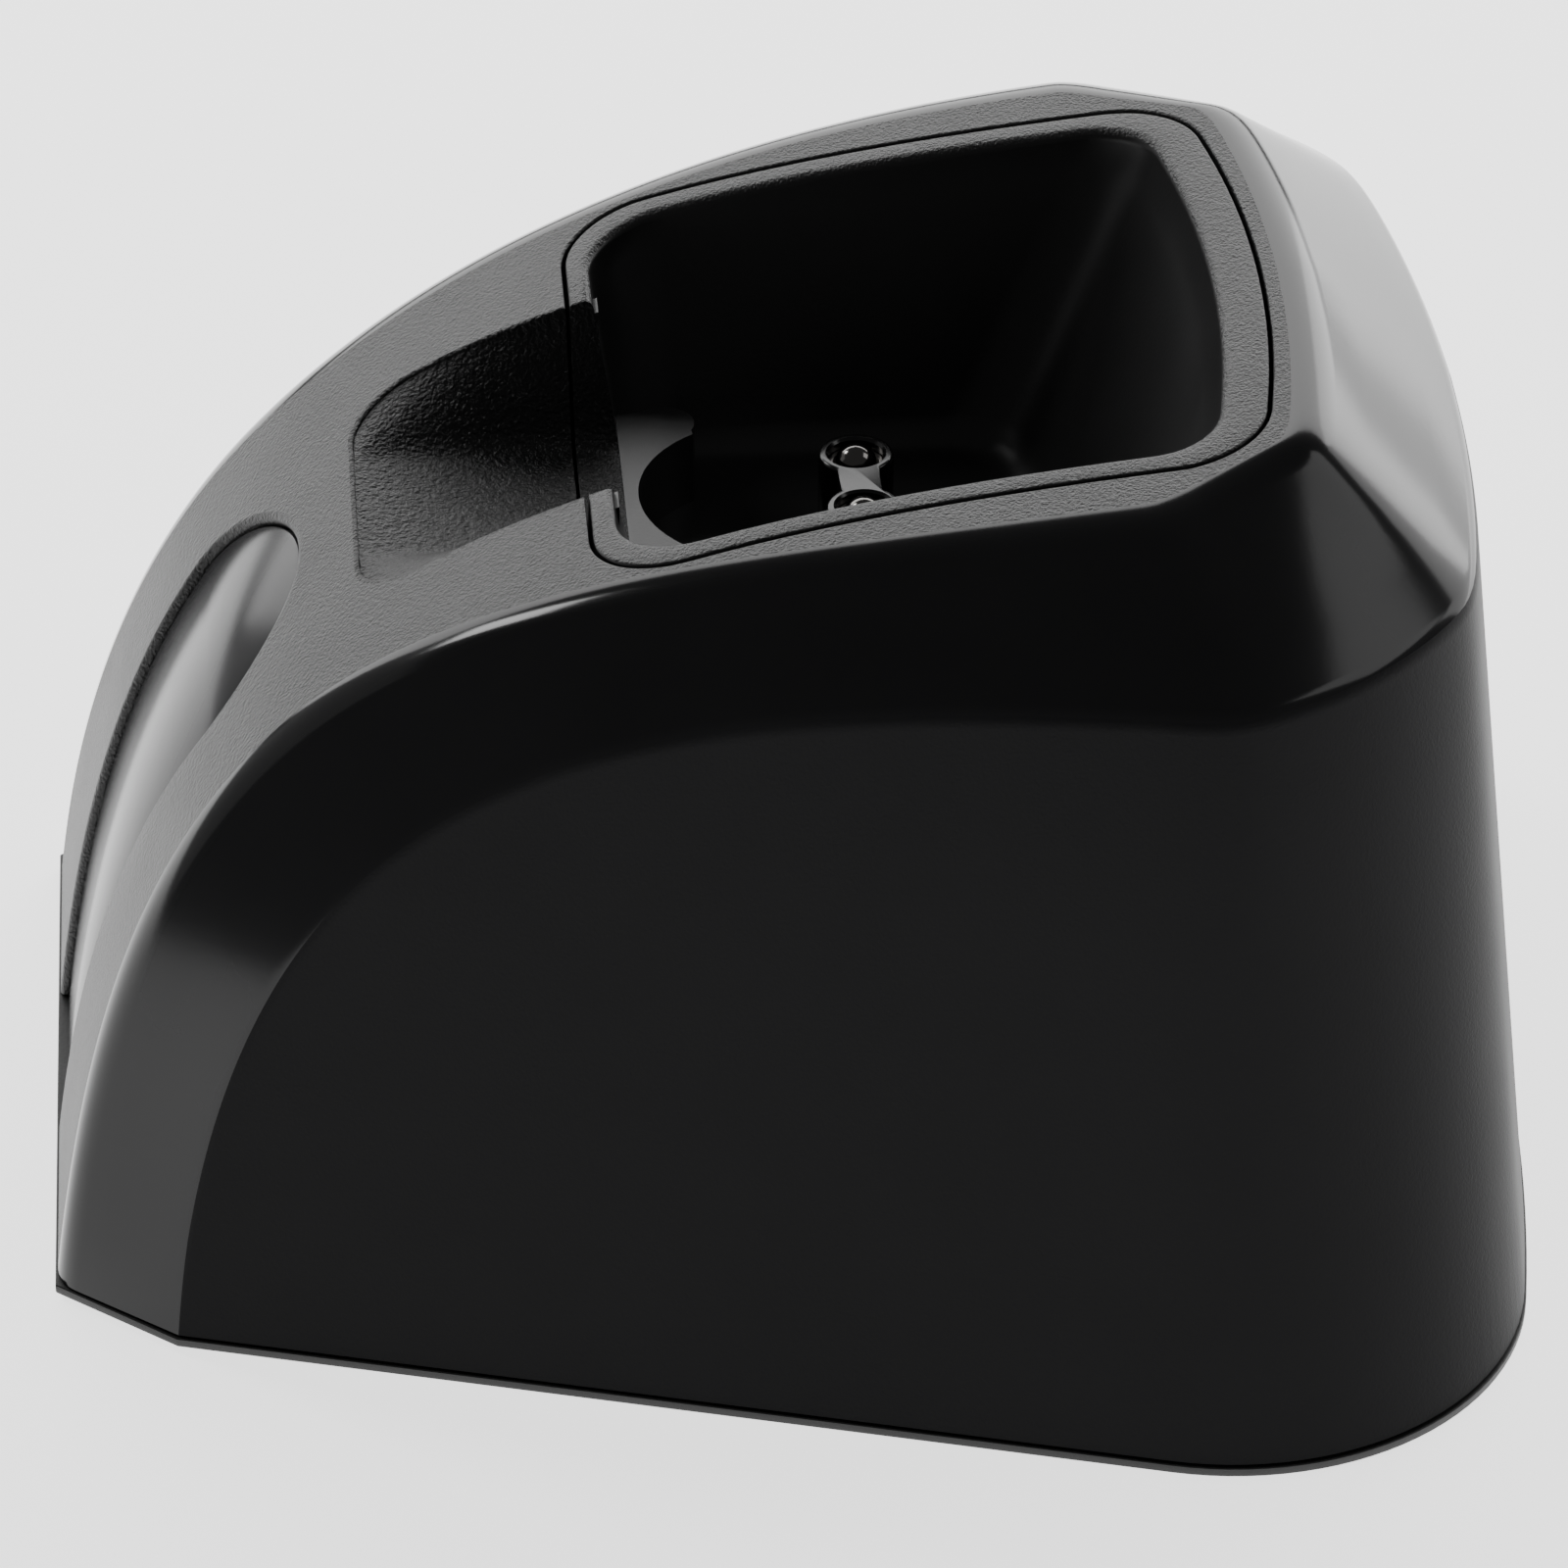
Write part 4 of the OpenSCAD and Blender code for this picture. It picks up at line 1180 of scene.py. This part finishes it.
@dataclass
class Liner:
    """The dark liner: lip, tapered walls, floor, and the crescent ledge behind the trough."""

    well: Well
    rim_r: float = 1.1
    lip_edge: float = 0.28
    floor_r: float = 3.0

    def build(self) -> bpy.types.Object:
        """Make and dress the liner.

        Returns:
            The finished piece.
        """
        well, form = self.well, self.well.form
        rings = [level(well.floor(well.thick), well.floor_z - well.thick),
                 form.on_skin(well.lip(), form.wall + well.thick)]
        for a in np.linspace(0, math.pi / 2, 5):
            drawn, deep = self.lip_edge * (1 - math.cos(a)), self.lip_edge * (1 - math.sin(a))
            rings.append(form.on_skin(well.lip(-drawn), deep))
        rings += [form.on_skin(well.rim(self.rim_r * (1 - math.sin(a))), self.rim_r * (1 - math.cos(a)))
                  for a in np.linspace(0, math.pi / 2, 8)]
        top, floor = rings[-1], level(well.floor(), well.floor_z)
        knee = self.floor_r / (form.high - well.floor_z)
        for s in np.linspace(0, 1, 10)[1:]:
            rings.append(top + s * (1 - knee) * (floor - top))
        start = rings[-1]
        inner = level(well.floor(-self.floor_r), well.floor_z)
        for s in np.linspace(0, 1, 7)[1:]:
            rings.append((1 - s) ** 2 * start + 2 * s * (1 - s) * floor + s * s * inner)
        liner = ring_solid("well_liner_skin", rings)
        self._tag_lip(liner)
        combine(liner, self._channel(), Join.ADD)
        combine(liner, self._ledge(), Join.ADD)
        combine(liner, well.trough("liner_trough", 0.0, 0.4), Join.CUT)
        self._cut_floor(liner)
        dress(liner, [LINER_PLASTIC.build(), BAND_PLASTIC.build(), WALL_PLASTIC.build(),
                      TROUGH_PLASTIC.build()])
        finish_piece(liner, ["well_liner"])
        return liner

    def _tag_lip(self, liner: bpy.types.Object) -> None:
        """Mark the lip's faces, which share the band's grain.

        Args:
            liner: The liner.
        """
        form = self.well.form
        for face in liner.data.polygons:
            c = face.center / MM
            near = abs(c.z - form.skin_z(c.y)) < 0.5
            face.material_index = 1 if near and abs(face.normal.z) > 0.55 else 0

    def _channel(self) -> bpy.types.Object:
        """Make the block through which the trough runs into the well.

        Returns:
            The object.
        """
        well, form = self.well, self.well.form
        wide, front, rear = well.trough_wide / 2 + 2, well.front, well.rim_front + 0.35
        plan = np.array([(-wide, front), (wide, front), (wide, rear), (-wide, rear)])
        top = np.array([(x, y, form.skin_z(y) - 1.2) for x, y in plan])
        return ring_solid("channel", [level(plan, well.trough_z - 2), top])

    def _ledge(self) -> bpy.types.Object:
        """Make the ledge that leaves a round space round the contacts.

        Returns:
            The object.
        """
        well = self.well
        reach, r = well.crescent_wide / 2 - 1.2, well.crescent_r
        turn = np.linspace(-math.pi / 2, -math.acos(reach / r), 26)
        arc = [(r * math.cos(a), r * math.sin(a)) for a in turn]
        tip = well.crescent_wide / 8
        mid = (arc[-1][0] + 0.75 * tip, arc[-1][1] - 0.9 * tip)
        horn = [(mid[0] + tip * math.cos(a), mid[1] + tip * math.sin(a))
                for a in np.linspace(math.radians(120), math.radians(-40), 14)]
        back = [(horn[-1][0] - 1, well.rim_front), (0.0, well.rim_front)]
        plan = mirrored([back[1], back[0]] + horn[::-1] + arc[::-1])
        low, top, soft = well.floor_z - 1, well.trough_z, 0.35
        middle = plan.mean(axis=0)
        rings = [level(plan, low)]
        rings += [level(middle + (plan - middle) * share, top - drop)
                  for share, drop in ((1.0, soft), (0.996, soft * 0.35), (0.985, 0.0))]
        return ring_solid("ledge", rings, 0)

    def _cut_floor(self, liner: bpy.types.Object) -> None:
        """Cut the floor's hole for the contact boss.

        Args:
            liner: The liner.
        """
        low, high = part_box("contact_pin_left")
        x, y = -(low.x + high.x) / 2 / MM, (low.y + high.y) / 2 / MM
        for side in (-1, 1):
            hole = round_solid("hole", [(3.65, 40), (3.65, 60)], (side * x, y), 48)
            combine(liner, hole, Join.CUT)
        ring = np.array([(-x, y - 2.15), (x, y - 2.15), (x, y + 2.15), (-x, y + 2.15)])
        combine(liner, ring_solid("slot", [level(ring, 40), level(ring, 60)]), Join.CUT)


@dataclass
class Contacts:
    """The boss with its two lobes, the barrels and the sprung pins."""

    lobe_r: float = 3.5
    bore_r: float = 2.6
    web: float = 4.0
    soft: float = 0.35

    def __post_init__(self) -> None:
        """Read the places from the frame."""
        low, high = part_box("contact_pin_right")
        self.x = (low.x + high.x) / 2 / MM
        self.y = (low.y + high.y) / 2 / MM
        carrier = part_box("contact_carrier")
        self.low, self.top = carrier[0].z / MM, carrier[1].z / MM
        self.plate = (carrier[1].x / MM, (carrier[1].y - carrier[0].y) / 2 / MM)

    def build(self) -> None:
        """Make and dress the boss, the barrels and the pins."""
        self._boss()
        for side, name in ((-1, "left"), (1, "right")):
            self._barrel(side, name)
            self._pin(side, name)

    def _boss(self) -> None:
        """Make the figure-of-eight boss on its plate."""
        turn_in = math.asin(self.web / 2 / self.lobe_r)
        arc = np.linspace(-math.pi + turn_in, math.pi - turn_in, 60)
        lobe = [(self.x + self.lobe_r * math.cos(a), self.lobe_r * math.sin(a)) for a in arc]
        plan = mirrored(lobe)

        def shrunk(d: float) -> np.ndarray:
            """The plan drawn in by d."""
            points = []
            for px, py in plan:
                centre = math.copysign(self.x, px)
                scale = (self.lobe_r - d) / self.lobe_r
                points.append((centre + (px - centre) * scale, self.y + py * scale))
            return np.array(points)

        rings = [level(shrunk(0), self.low), level(shrunk(0), self.top - self.soft)]
        rings += [level(shrunk(self.soft * (1 - math.cos(a))), self.top - self.soft * (1 - math.sin(a)))
                  for a in np.linspace(0, math.pi / 2, 5)[1:]]
        boss = ring_solid("contact_boss", rings)
        w, h = self.plate
        ring = np.array([(-w, self.y - h), (w, self.y - h), (w, self.y + h), (-w, self.y + h)])
        combine(boss, ring_solid("plate", [level(ring, self.low), level(ring, self.low + 2)]), Join.ADD)
        for side in (-1, 1):
            profile = [(self.bore_r, self.low - 1), (self.bore_r, self.top - 0.25),
                       (self.bore_r + 0.25, self.top + 0.02), (self.bore_r + 0.25, self.top + 2)]
            combine(boss, round_solid("bore", profile, (side * self.x, self.y), 56), Join.CUT)
        dress(boss, [CARRIER_PLASTIC.build()])
        finish_piece(boss, ["contact_carrier"])

    def _barrel(self, side: int, name: str) -> None:
        """Make one barrel.

        Args:
            side: -1 for the left barrel, 1 for the right one.
            name: Its side's name.
        """
        low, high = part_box(f"contact_barrel_{name}")
        bottom, top = low.z / MM, high.z / MM
        centre = (side * self.x, self.y)
        barrel = round_solid("contact_sleeve_" + name, [(2.6, bottom), (2.6, top - 0.1), (2.5, top)], centre)
        combine(barrel, round_solid("b", [(2.35, bottom - 1), (2.35, top - 0.6)], centre), Join.CUT)
        combine(barrel, round_solid("b", [(2.05, bottom), (2.05, top - 0.15), (2.2, top + 0.05),
                                          (2.2, top + 1)], centre), Join.CUT)
        dress(barrel, [BARREL_METAL.build()])
        finish_piece(barrel, [f"contact_barrel_{name}"])

    def _pin(self, side: int, name: str) -> None:
        """Make one pin with its domed tip.

        Args:
            side: -1 for the left pin, 1 for the right one.
            name: Its side's name.
        """
        low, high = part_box(f"contact_pin_{name}")
        bottom, top, r = low.z / MM, high.z / MM, 2.0
        dome = [(r * math.cos(a), top - r + r * math.sin(a)) for a in np.linspace(0, math.pi / 2, 12)]
        profile = [(2.2, bottom), (2.3, bottom + 0.1), (2.3, bottom + 1.3), (2.2, bottom + 1.4),
                   (r, bottom + 1.4)] + dome
        pin = round_solid("contact_tip_" + name, profile, (side * self.x, self.y))
        dress(pin, [CONTACT_METAL.build()])
        finish_piece(pin, [f"contact_pin_{name}"], f"pin_{name}")


# ---------------------------------------------------------------- base, feet, screws and inlet


@dataclass
class Base:
    """The base plate and its rubber feet."""

    form: StandForm
    foot_r: float = 6.0
    edge: float = 0.25

    def build(self) -> None:
        """Make and dress the plate and the feet."""
        self._plate()
        self._feet()

    def _outline(self, inset: float) -> np.ndarray:
        """Outline of the foot of the stand, drawn in."""
        form = self.form
        nose = (form.nose_wide / 2 - 0.4 * inset, form.front + inset)
        cheek = (form.side_x(form.chamfer, 0) - inset / math.cos(form.taper), form.chamfer + 0.5 * inset)
        tail = form.rear_path(form.wide / 2, form.foot_corner, form.rear, form.taper, inset)
        return mirrored([nose, cheek] + tail)

    def _places(self, node: str, reach: float) -> list[tuple[float, float]]:
        """Four places at the corners of a node's box, which the base's taper sets.

        Args:
            node: The CAD node of four equal solids.
            reach: Radius of each solid.

        Returns:
            X and Y of each.
        """
        co = np.array([v.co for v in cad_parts[node].data.vertices]) / MM
        found = []
        for right in (False, True):
            for back in (False, True):
                part = co[((co[:, 0] > 0) == right) & ((co[:, 1] > 0) == back)]
                found.append(tuple((part.min(axis=0) + part.max(axis=0))[:2] / 2))
        LOG.info("%s stands at %s, radius %.1f", node, [tuple(np.round(p, 1)) for p in found], reach)
        return found

    def _plate(self) -> None:
        """Make the plate with its rim, foot recesses and screw holes."""
        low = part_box("base_plate")[0].z / MM
        e = self.edge
        outer = [(e, low), (e * 0.3, low + e * 0.3), (0.0, low + e), (0.0, low + 1 - e * 0.4),
                 (e * 0.4, low + 1), (2.9, low + 1), (2.9, low + 2.5)]
        plate = ring_solid("base_plate_skin", [level(self._outline(i), z) for i, z in outer])
        for x, y in self._places("rubber_feet", self.foot_r):
            well = [(self.foot_r + 0.35, low - 1), (self.foot_r + 0.35, low), (self.foot_r + 0.1, low + 0.25),
                    (self.foot_r + 0.1, low + 1.1)]
            combine(plate, round_solid("recess", well, (x, y), 72), Join.CUT)
        for x, y in self._places("base_screws", 2.8):
            sink = [(3.3, low - 1), (3.3, low), (3.1, low + 0.2), (3.1, low + 1.9), (1.7, low + 1.9),
                    (1.7, 9)]
            combine(plate, round_solid("sink", sink, (x, y), 56), Join.CUT)
        dress(plate, [BASE_PLASTIC.build()])
        finish_piece(plate, ["base_plate"])

    def _feet(self) -> None:
        """Make the feet, each a disc with a rounded tread and a shallow dish."""
        r, top = self.foot_r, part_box("rubber_feet")[1].z / MM
        profile = [(r - 2.2, 0.18), (r - 1.9, 0.03), (r - 1.6, 0.0), (r - 0.5, 0.0), (r - 0.2, 0.07),
                   (r, 0.3), (r, top)]
        feet = [round_solid("foot", profile, place) for place in self._places("rubber_feet", r)]
        pads = joined("rubber_feet_pads", feet)
        dress(pads, [RUBBER.build()])
        finish_piece(pads, ["rubber_feet"])


@dataclass
class Screws:
    """Cross-slotted screws, one node tree for every kind in the stand."""

    node: str
    count_x: int
    head_r: float
    head_h: float
    shank_r: float
    down: bool = False

    @staticmethod
    def tree() -> bpy.types.NodeTree:
        """Build the tree that sets a screw on each point.

        Returns:
            The node tree.
        """
        tree = bpy.data.node_groups.new("screws_on_points", "GeometryNodeTree")
        face = tree.interface
        face.new_socket("Geometry", in_out="INPUT", socket_type="NodeSocketGeometry")
        for label in ("Head Radius", "Head Height", "Shank Radius", "Shank Length", "Slot Width"):
            face.new_socket(label, in_out="INPUT", socket_type="NodeSocketFloat")
        face.new_socket("Turn", in_out="INPUT", socket_type="NodeSocketVector")
        face.new_socket("Material", in_out="INPUT", socket_type="NodeSocketMaterial")
        face.new_socket("Geometry", in_out="OUTPUT", socket_type="NodeSocketGeometry")
        new, link = tree.nodes.new, tree.links.new
        source, target = new("NodeGroupInput"), new("NodeGroupOutput")

        def scaled(socket: bpy.types.NodeSocket, factor: float) -> bpy.types.NodeSocket:
            """A socket times a number."""
            node = new("ShaderNodeMath")
            node.operation = "MULTIPLY"
            node.inputs[1].default_value = factor
            link(socket, node.inputs[0])
            return node.outputs[0]

        def lifted(geometry: bpy.types.NodeSocket, height: bpy.types.NodeSocket) -> bpy.types.NodeSocket:
            """Geometry moved up by a height."""
            place, move = new("ShaderNodeCombineXYZ"), new("GeometryNodeTransform")
            link(height, place.inputs["Z"])
            link(geometry, move.inputs["Geometry"])
            link(place.outputs[0], move.inputs["Translation"])
            return move.outputs[0]

        head, shank = new("GeometryNodeMeshCylinder"), new("GeometryNodeMeshCylinder")
        tip = new("GeometryNodeMeshCone")
        for part in (head, shank, tip):
            part.inputs["Vertices"].default_value = 40
        link(source.outputs["Head Radius"], head.inputs["Radius"])
        link(source.outputs["Head Height"], head.inputs["Depth"])
        link(source.outputs["Shank Radius"], shank.inputs["Radius"])
        link(source.outputs["Shank Length"], shank.inputs["Depth"])
        link(source.outputs["Shank Radius"], tip.inputs["Radius Bottom"])
        link(scaled(source.outputs["Shank Radius"], 0.3), tip.inputs["Radius Top"])
        link(source.outputs["Shank Radius"], tip.inputs["Depth"])
        cross = new("GeometryNodeMeshBoolean")
        cross.operation = "DIFFERENCE"
        half_down = scaled(source.outputs["Head Height"], -0.5)
        link(lifted(head.outputs["Mesh"], half_down), cross.inputs["Mesh 1"])
        for turn in (0.0, math.pi / 2):
            bar, size = new("GeometryNodeMeshCube"), new("ShaderNodeCombineXYZ")
            spin = new("GeometryNodeTransform")
            link(scaled(source.outputs["Head Radius"], 1.25), size.inputs["X"])
            link(source.outputs["Slot Width"], size.inputs["Y"])
            link(source.outputs["Head Height"], size.inputs["Z"])
            link(size.outputs[0], bar.inputs["Size"])
            drop = scaled(source.outputs["Head Height"], -1.0)
            link(lifted(bar.outputs["Mesh"], drop), spin.inputs["Geometry"])
            spin.inputs["Rotation"].default_value = (0.0, 0.0, turn)
            link(spin.outputs[0], cross.inputs["Mesh 2"])
        whole = new("GeometryNodeJoinGeometry")
        link(cross.outputs["Mesh"], whole.inputs[0])
        link(lifted(shank.outputs["Mesh"], scaled(source.outputs["Shank Length"], 0.5)), whole.inputs[0])
        link(lifted(tip.outputs["Mesh"], source.outputs["Shank Length"]), whole.inputs[0])
        seat, real, paint = (new("GeometryNodeInstanceOnPoints"), new("GeometryNodeRealizeInstances"),
                             new("GeometryNodeSetMaterial"))
        link(source.outputs["Geometry"], seat.inputs["Points"])
        link(whole.outputs[0], seat.inputs["Instance"])
        link(source.outputs["Turn"], seat.inputs["Rotation"])
        link(seat.outputs[0], real.inputs[0])
        link(real.outputs[0], paint.inputs["Geometry"])
        link(source.outputs["Material"], paint.inputs["Material"])
        link(paint.outputs[0], target.inputs[0])
        return tree

    def build(self, tree: bpy.types.NodeTree, material: bpy.types.Material) -> None:
        """Set the screws where the frame has them.

        Args:
            tree: The screws' node tree.
            material: Their material.
        """
        co = np.array([v.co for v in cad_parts[self.node].data.vertices])
        low, high = co[:, 2].min(), co[:, 2].max()
        points = []
        for right in (False, True):
            for back in ((False, True) if self.count_x == 2 else (None,)):
                part = co[(co[:, 0] > 0) == right]
                if back is not None:
                    middle = (part[:, 1].min() + part[:, 1].max()) / 2
                    part = part[(part[:, 1] > middle) == back]
                centre = (part.min(axis=0) + part.max(axis=0)) / 2
                seat = high - self.head_h * MM if self.down else low + self.head_h * MM
                points.append((centre[0], centre[1], seat))
        mesh = bpy.data.meshes.new(self.node + "_points")
        mesh.from_pydata(points, [], [])
        piece = bpy.data.objects.new(self.node + "_set", mesh)
        bpy.context.scene.collection.objects.link(piece)
        values = {
            "Head Radius": self.head_r * MM, "Head Height": self.head_h * MM,
            "Shank Radius": self.shank_r * MM,
            "Shank Length": float(high - low) - (self.head_h + self.shank_r) * MM, "Slot Width": 0.6 * MM,
            "Turn": (math.pi if self.down else 0.0, 0.0, 0.0), "Material": material}
        modifier = piece.modifiers.new("screws", "NODES")
        modifier.node_group = tree
        for item in tree.interface.items_tree:
            if item.in_out == "INPUT" and item.name in values:
                modifier[item.identifier] = values[item.name]
        graph = bpy.context.evaluated_depsgraph_get()
        piece.data = bpy.data.meshes.new_from_object(piece.evaluated_get(graph))
        piece.modifiers.remove(modifier)
        piece.data.shade_smooth()
        piece.data.set_sharp_from_angle(angle=SMOOTH_ANGLE)
        finish_piece(piece, [self.node])


@dataclass
class Inlet:
    """The power inlet: a block with a round nose and its centre pin; its spring leaf keeps the frame's own shape.
    """

    nose_r: float = 4.0
    bore_r: float = 2.85
    bore_deep: float = 9.5
    z: float = 14.0

    def build(self) -> None:
        """Make and dress the block and the pin."""
        low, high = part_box("power_jack")
        back, face = low.y / MM, high.y / MM
        block_front = face - 1.95
        half = high.x / MM
        corner = [(half - 0.4 + 0.4 * math.cos(a), half - 0.4 + 0.4 * math.sin(a))
                  for a in np.linspace(0, math.pi / 2, 5)]
        square = np.array([(sx * x, sz * z) for sx, sz, seq in
                           ((1, 1, corner), (-1, 1, corner[::-1]), (-1, -1, corner), (1, -1, corner[::-1]))
                           for x, z in seq])
        steps = ((0.93, back), (1.0, back + 0.35), (1.0, block_front - 0.35), (0.93, block_front))
        rings = [level(square * share, y) for share, y in steps]
        block = ring_solid("inlet_block", rings)
        nose = [(self.nose_r, block_front - 2), (self.nose_r, face - 0.25), (self.nose_r - 0.25, face)]
        combine(block, round_solid("nose", nose, (0, 0), 72), Join.ADD)
        bore = [(self.bore_r, face - self.bore_deep), (self.bore_r, face - 0.35),
                (self.bore_r + 0.4, face + 0.05), (self.bore_r + 0.4, face + 2)]
        combine(block, round_solid("bore", bore, (0, 0), 72), Join.CUT)
        combine(block, round_solid("root", [(1.2, back - 1), (1.2, face)], (0, 0), 40), Join.CUT)
        lay_along = [(1, 0, 0, 0), (0, 0, 1, 0), (0, -1, 0, self.z)]
        turned(block, lay_along)
        dress(block, [CARRIER_PLASTIC.build()])
        finish_piece(block, ["power_jack"])
        low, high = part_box("jack_pin")
        start, tip = low.y / MM, high.y / MM
        profile = [(1.0, start), (1.2, start + 0.2), (1.2, face - self.bore_deep),
                   (1.0, face - self.bore_deep), (1.0, tip - 0.7), (0.9, tip - 0.35), (0.65, tip - 0.1), (0.3, tip)]
        pin = turned(round_solid("inlet_pin", profile, (0, 0), 40), lay_along)
        dress(pin, [SCREW_METAL.build()])
        finish_piece(pin, ["jack_pin"])


@dataclass(frozen=True)
class Kept:
    """A CAD node whose shape is right and only takes its finish."""

    node: str
    finish: Moulded | Metal

    def build(self) -> None:
        """Dress the node."""
        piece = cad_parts[self.node]
        piece.data.materials.clear()
        piece.data.materials.append(self.finish.build())
        LOG.info("%s: kept from the frame", self.node)


# ---------------------------------------------------------------- studio


@dataclass
class Studio:
    """Floor, lights and camera."""

    azimuth: float = math.radians(85.694)
    elevation: float = math.radians(33.5)
    distance: float = 0.7
    aim: tuple = (0.0, 0.00047, 0.0299)
    lens: float = 169.97

    def build(self) -> None:
        """Set up the floor, the lights and the camera."""
        self._camera()
        self._floor()
        self._world()
        aim = Vector((0.0, 0.0, 0.04))
        self._light("far_wall", (-1.15, 0.1, 0.55), aim, (2.4, 0.8), 25)
        self._light("rear_wall", (-0.8, 1.0, 0.34), aim, (1.1, 0.7), 6.5)
        self._light("corner_card", (-0.08, 1.05, 0.95), aim, (0.6, 0.6), 2.4)
        self._light("front_fill", (-0.6, -1.2, 0.5), aim, (1.2, 0.9), 1.2)
        self._light("edge_strip", (-0.72, -0.86, 1.0), aim, (0.3, 0.3), 5)

    def _camera(self) -> None:
        """Set the camera at the reference viewing angle."""
        data = bpy.data.cameras.new("camera")
        data.lens = self.lens
        data.sensor_width = 36.0
        data.clip_start = 0.05
        camera = bpy.data.objects.new("camera", data)
        back = Vector((math.sin(self.azimuth) * math.cos(self.elevation),
                       -math.cos(self.azimuth) * math.cos(self.elevation), math.sin(self.elevation)))
        camera.location = Vector(self.aim) + back * self.distance
        camera.rotation_euler = (-back).to_track_quat("-Z", "Y").to_euler()
        bpy.context.scene.collection.objects.link(camera)
        bpy.context.scene.camera = camera

    def _floor(self) -> None:
        """Lay a plain pale floor."""
        size = 4000.0
        corners = [(-size, -size, 0), (size, -size, 0), (size, size, 0), (-size, size, 0)]
        floor = make_mesh("floor", np.array(corners), [[0, 1, 2, 3]])
        material, _, _, shader = plain_material("floor_pale")
        shader.inputs["Base Color"].default_value = (0.92, 0.92, 0.92, 1)
        shader.inputs["Roughness"].default_value = 0.8
        shader.inputs["Specular IOR Level"].default_value = 0.1
        shader.inputs["Emission Color"].default_value = (1, 1, 1, 1)
        shader.inputs["Emission Strength"].default_value = 1.9
        floor.data.materials.append(material)

    def _world(self) -> None:
        """Light the room evenly and softly."""
        world = bpy.data.worlds.new("room")
        world.use_nodes = True
        world.node_tree.nodes["Background"].inputs["Color"].default_value = (1, 1, 1, 1)
        world.node_tree.nodes["Background"].inputs["Strength"].default_value = 0.12
        bpy.context.scene.world = world

    def _light(self, name: str, place: tuple, aim: Vector, size: tuple, power: float) -> None:
        """Hang a soft box.

        Args:
            name: Its name.
            place: Its place in metres.
            aim: The point that it faces.
            size: Its width and height.
            power: Its power in watts.
        """
        data = bpy.data.lights.new(name, "AREA")
        data.shape = "RECTANGLE"
        data.size, data.size_y = size
        data.energy = power
        lamp = bpy.data.objects.new(name, data)
        lamp.location = place
        lamp.rotation_euler = (aim - Vector(place)).to_track_quat("-Z", "Y").to_euler()
        bpy.context.scene.collection.objects.link(lamp)


def main() -> None:
    """Build every piece in order."""
    logging.basicConfig(level=logging.INFO, format="%(message)s")
    Studio().build()
    form = StandForm.from_frame()
    well = Well(form)
    badge = Badge(form)
    Housing(form, well, badge).build()
    Liner(well).build()
    badge.build()
    Contacts().build()
    Base(form).build()
    screws, zinc = Screws.tree(), SCREW_METAL.build()
    for kind in (Screws("base_screws", 2, 2.8, 1.7, 1.4), Screws("liner_screws", 2, 2.2, 1.5, 1.1),
                 Screws("board_screws", 1, 2.2, 1.5, 1.1), Screws("ballast_screws", 2, 5.0, 1.7, 1.3, True)):
        kind.build(screws, zinc)
    Inlet().build()
    for kept in (Kept("contact_board", BOARD_MASK), Kept("ballast_weight", BALLAST_METAL),
                 Kept("contact_spring_left", SPRING_METAL), Kept("contact_spring_right", SPRING_METAL),
                 Kept("jack_leaf", SPRING_METAL), Kept("lead_positive", RED_LEAD),
                 Kept("lead_negative", BLACK_LEAD)):
        kept.build()


if __name__ == "__main__":
    main()
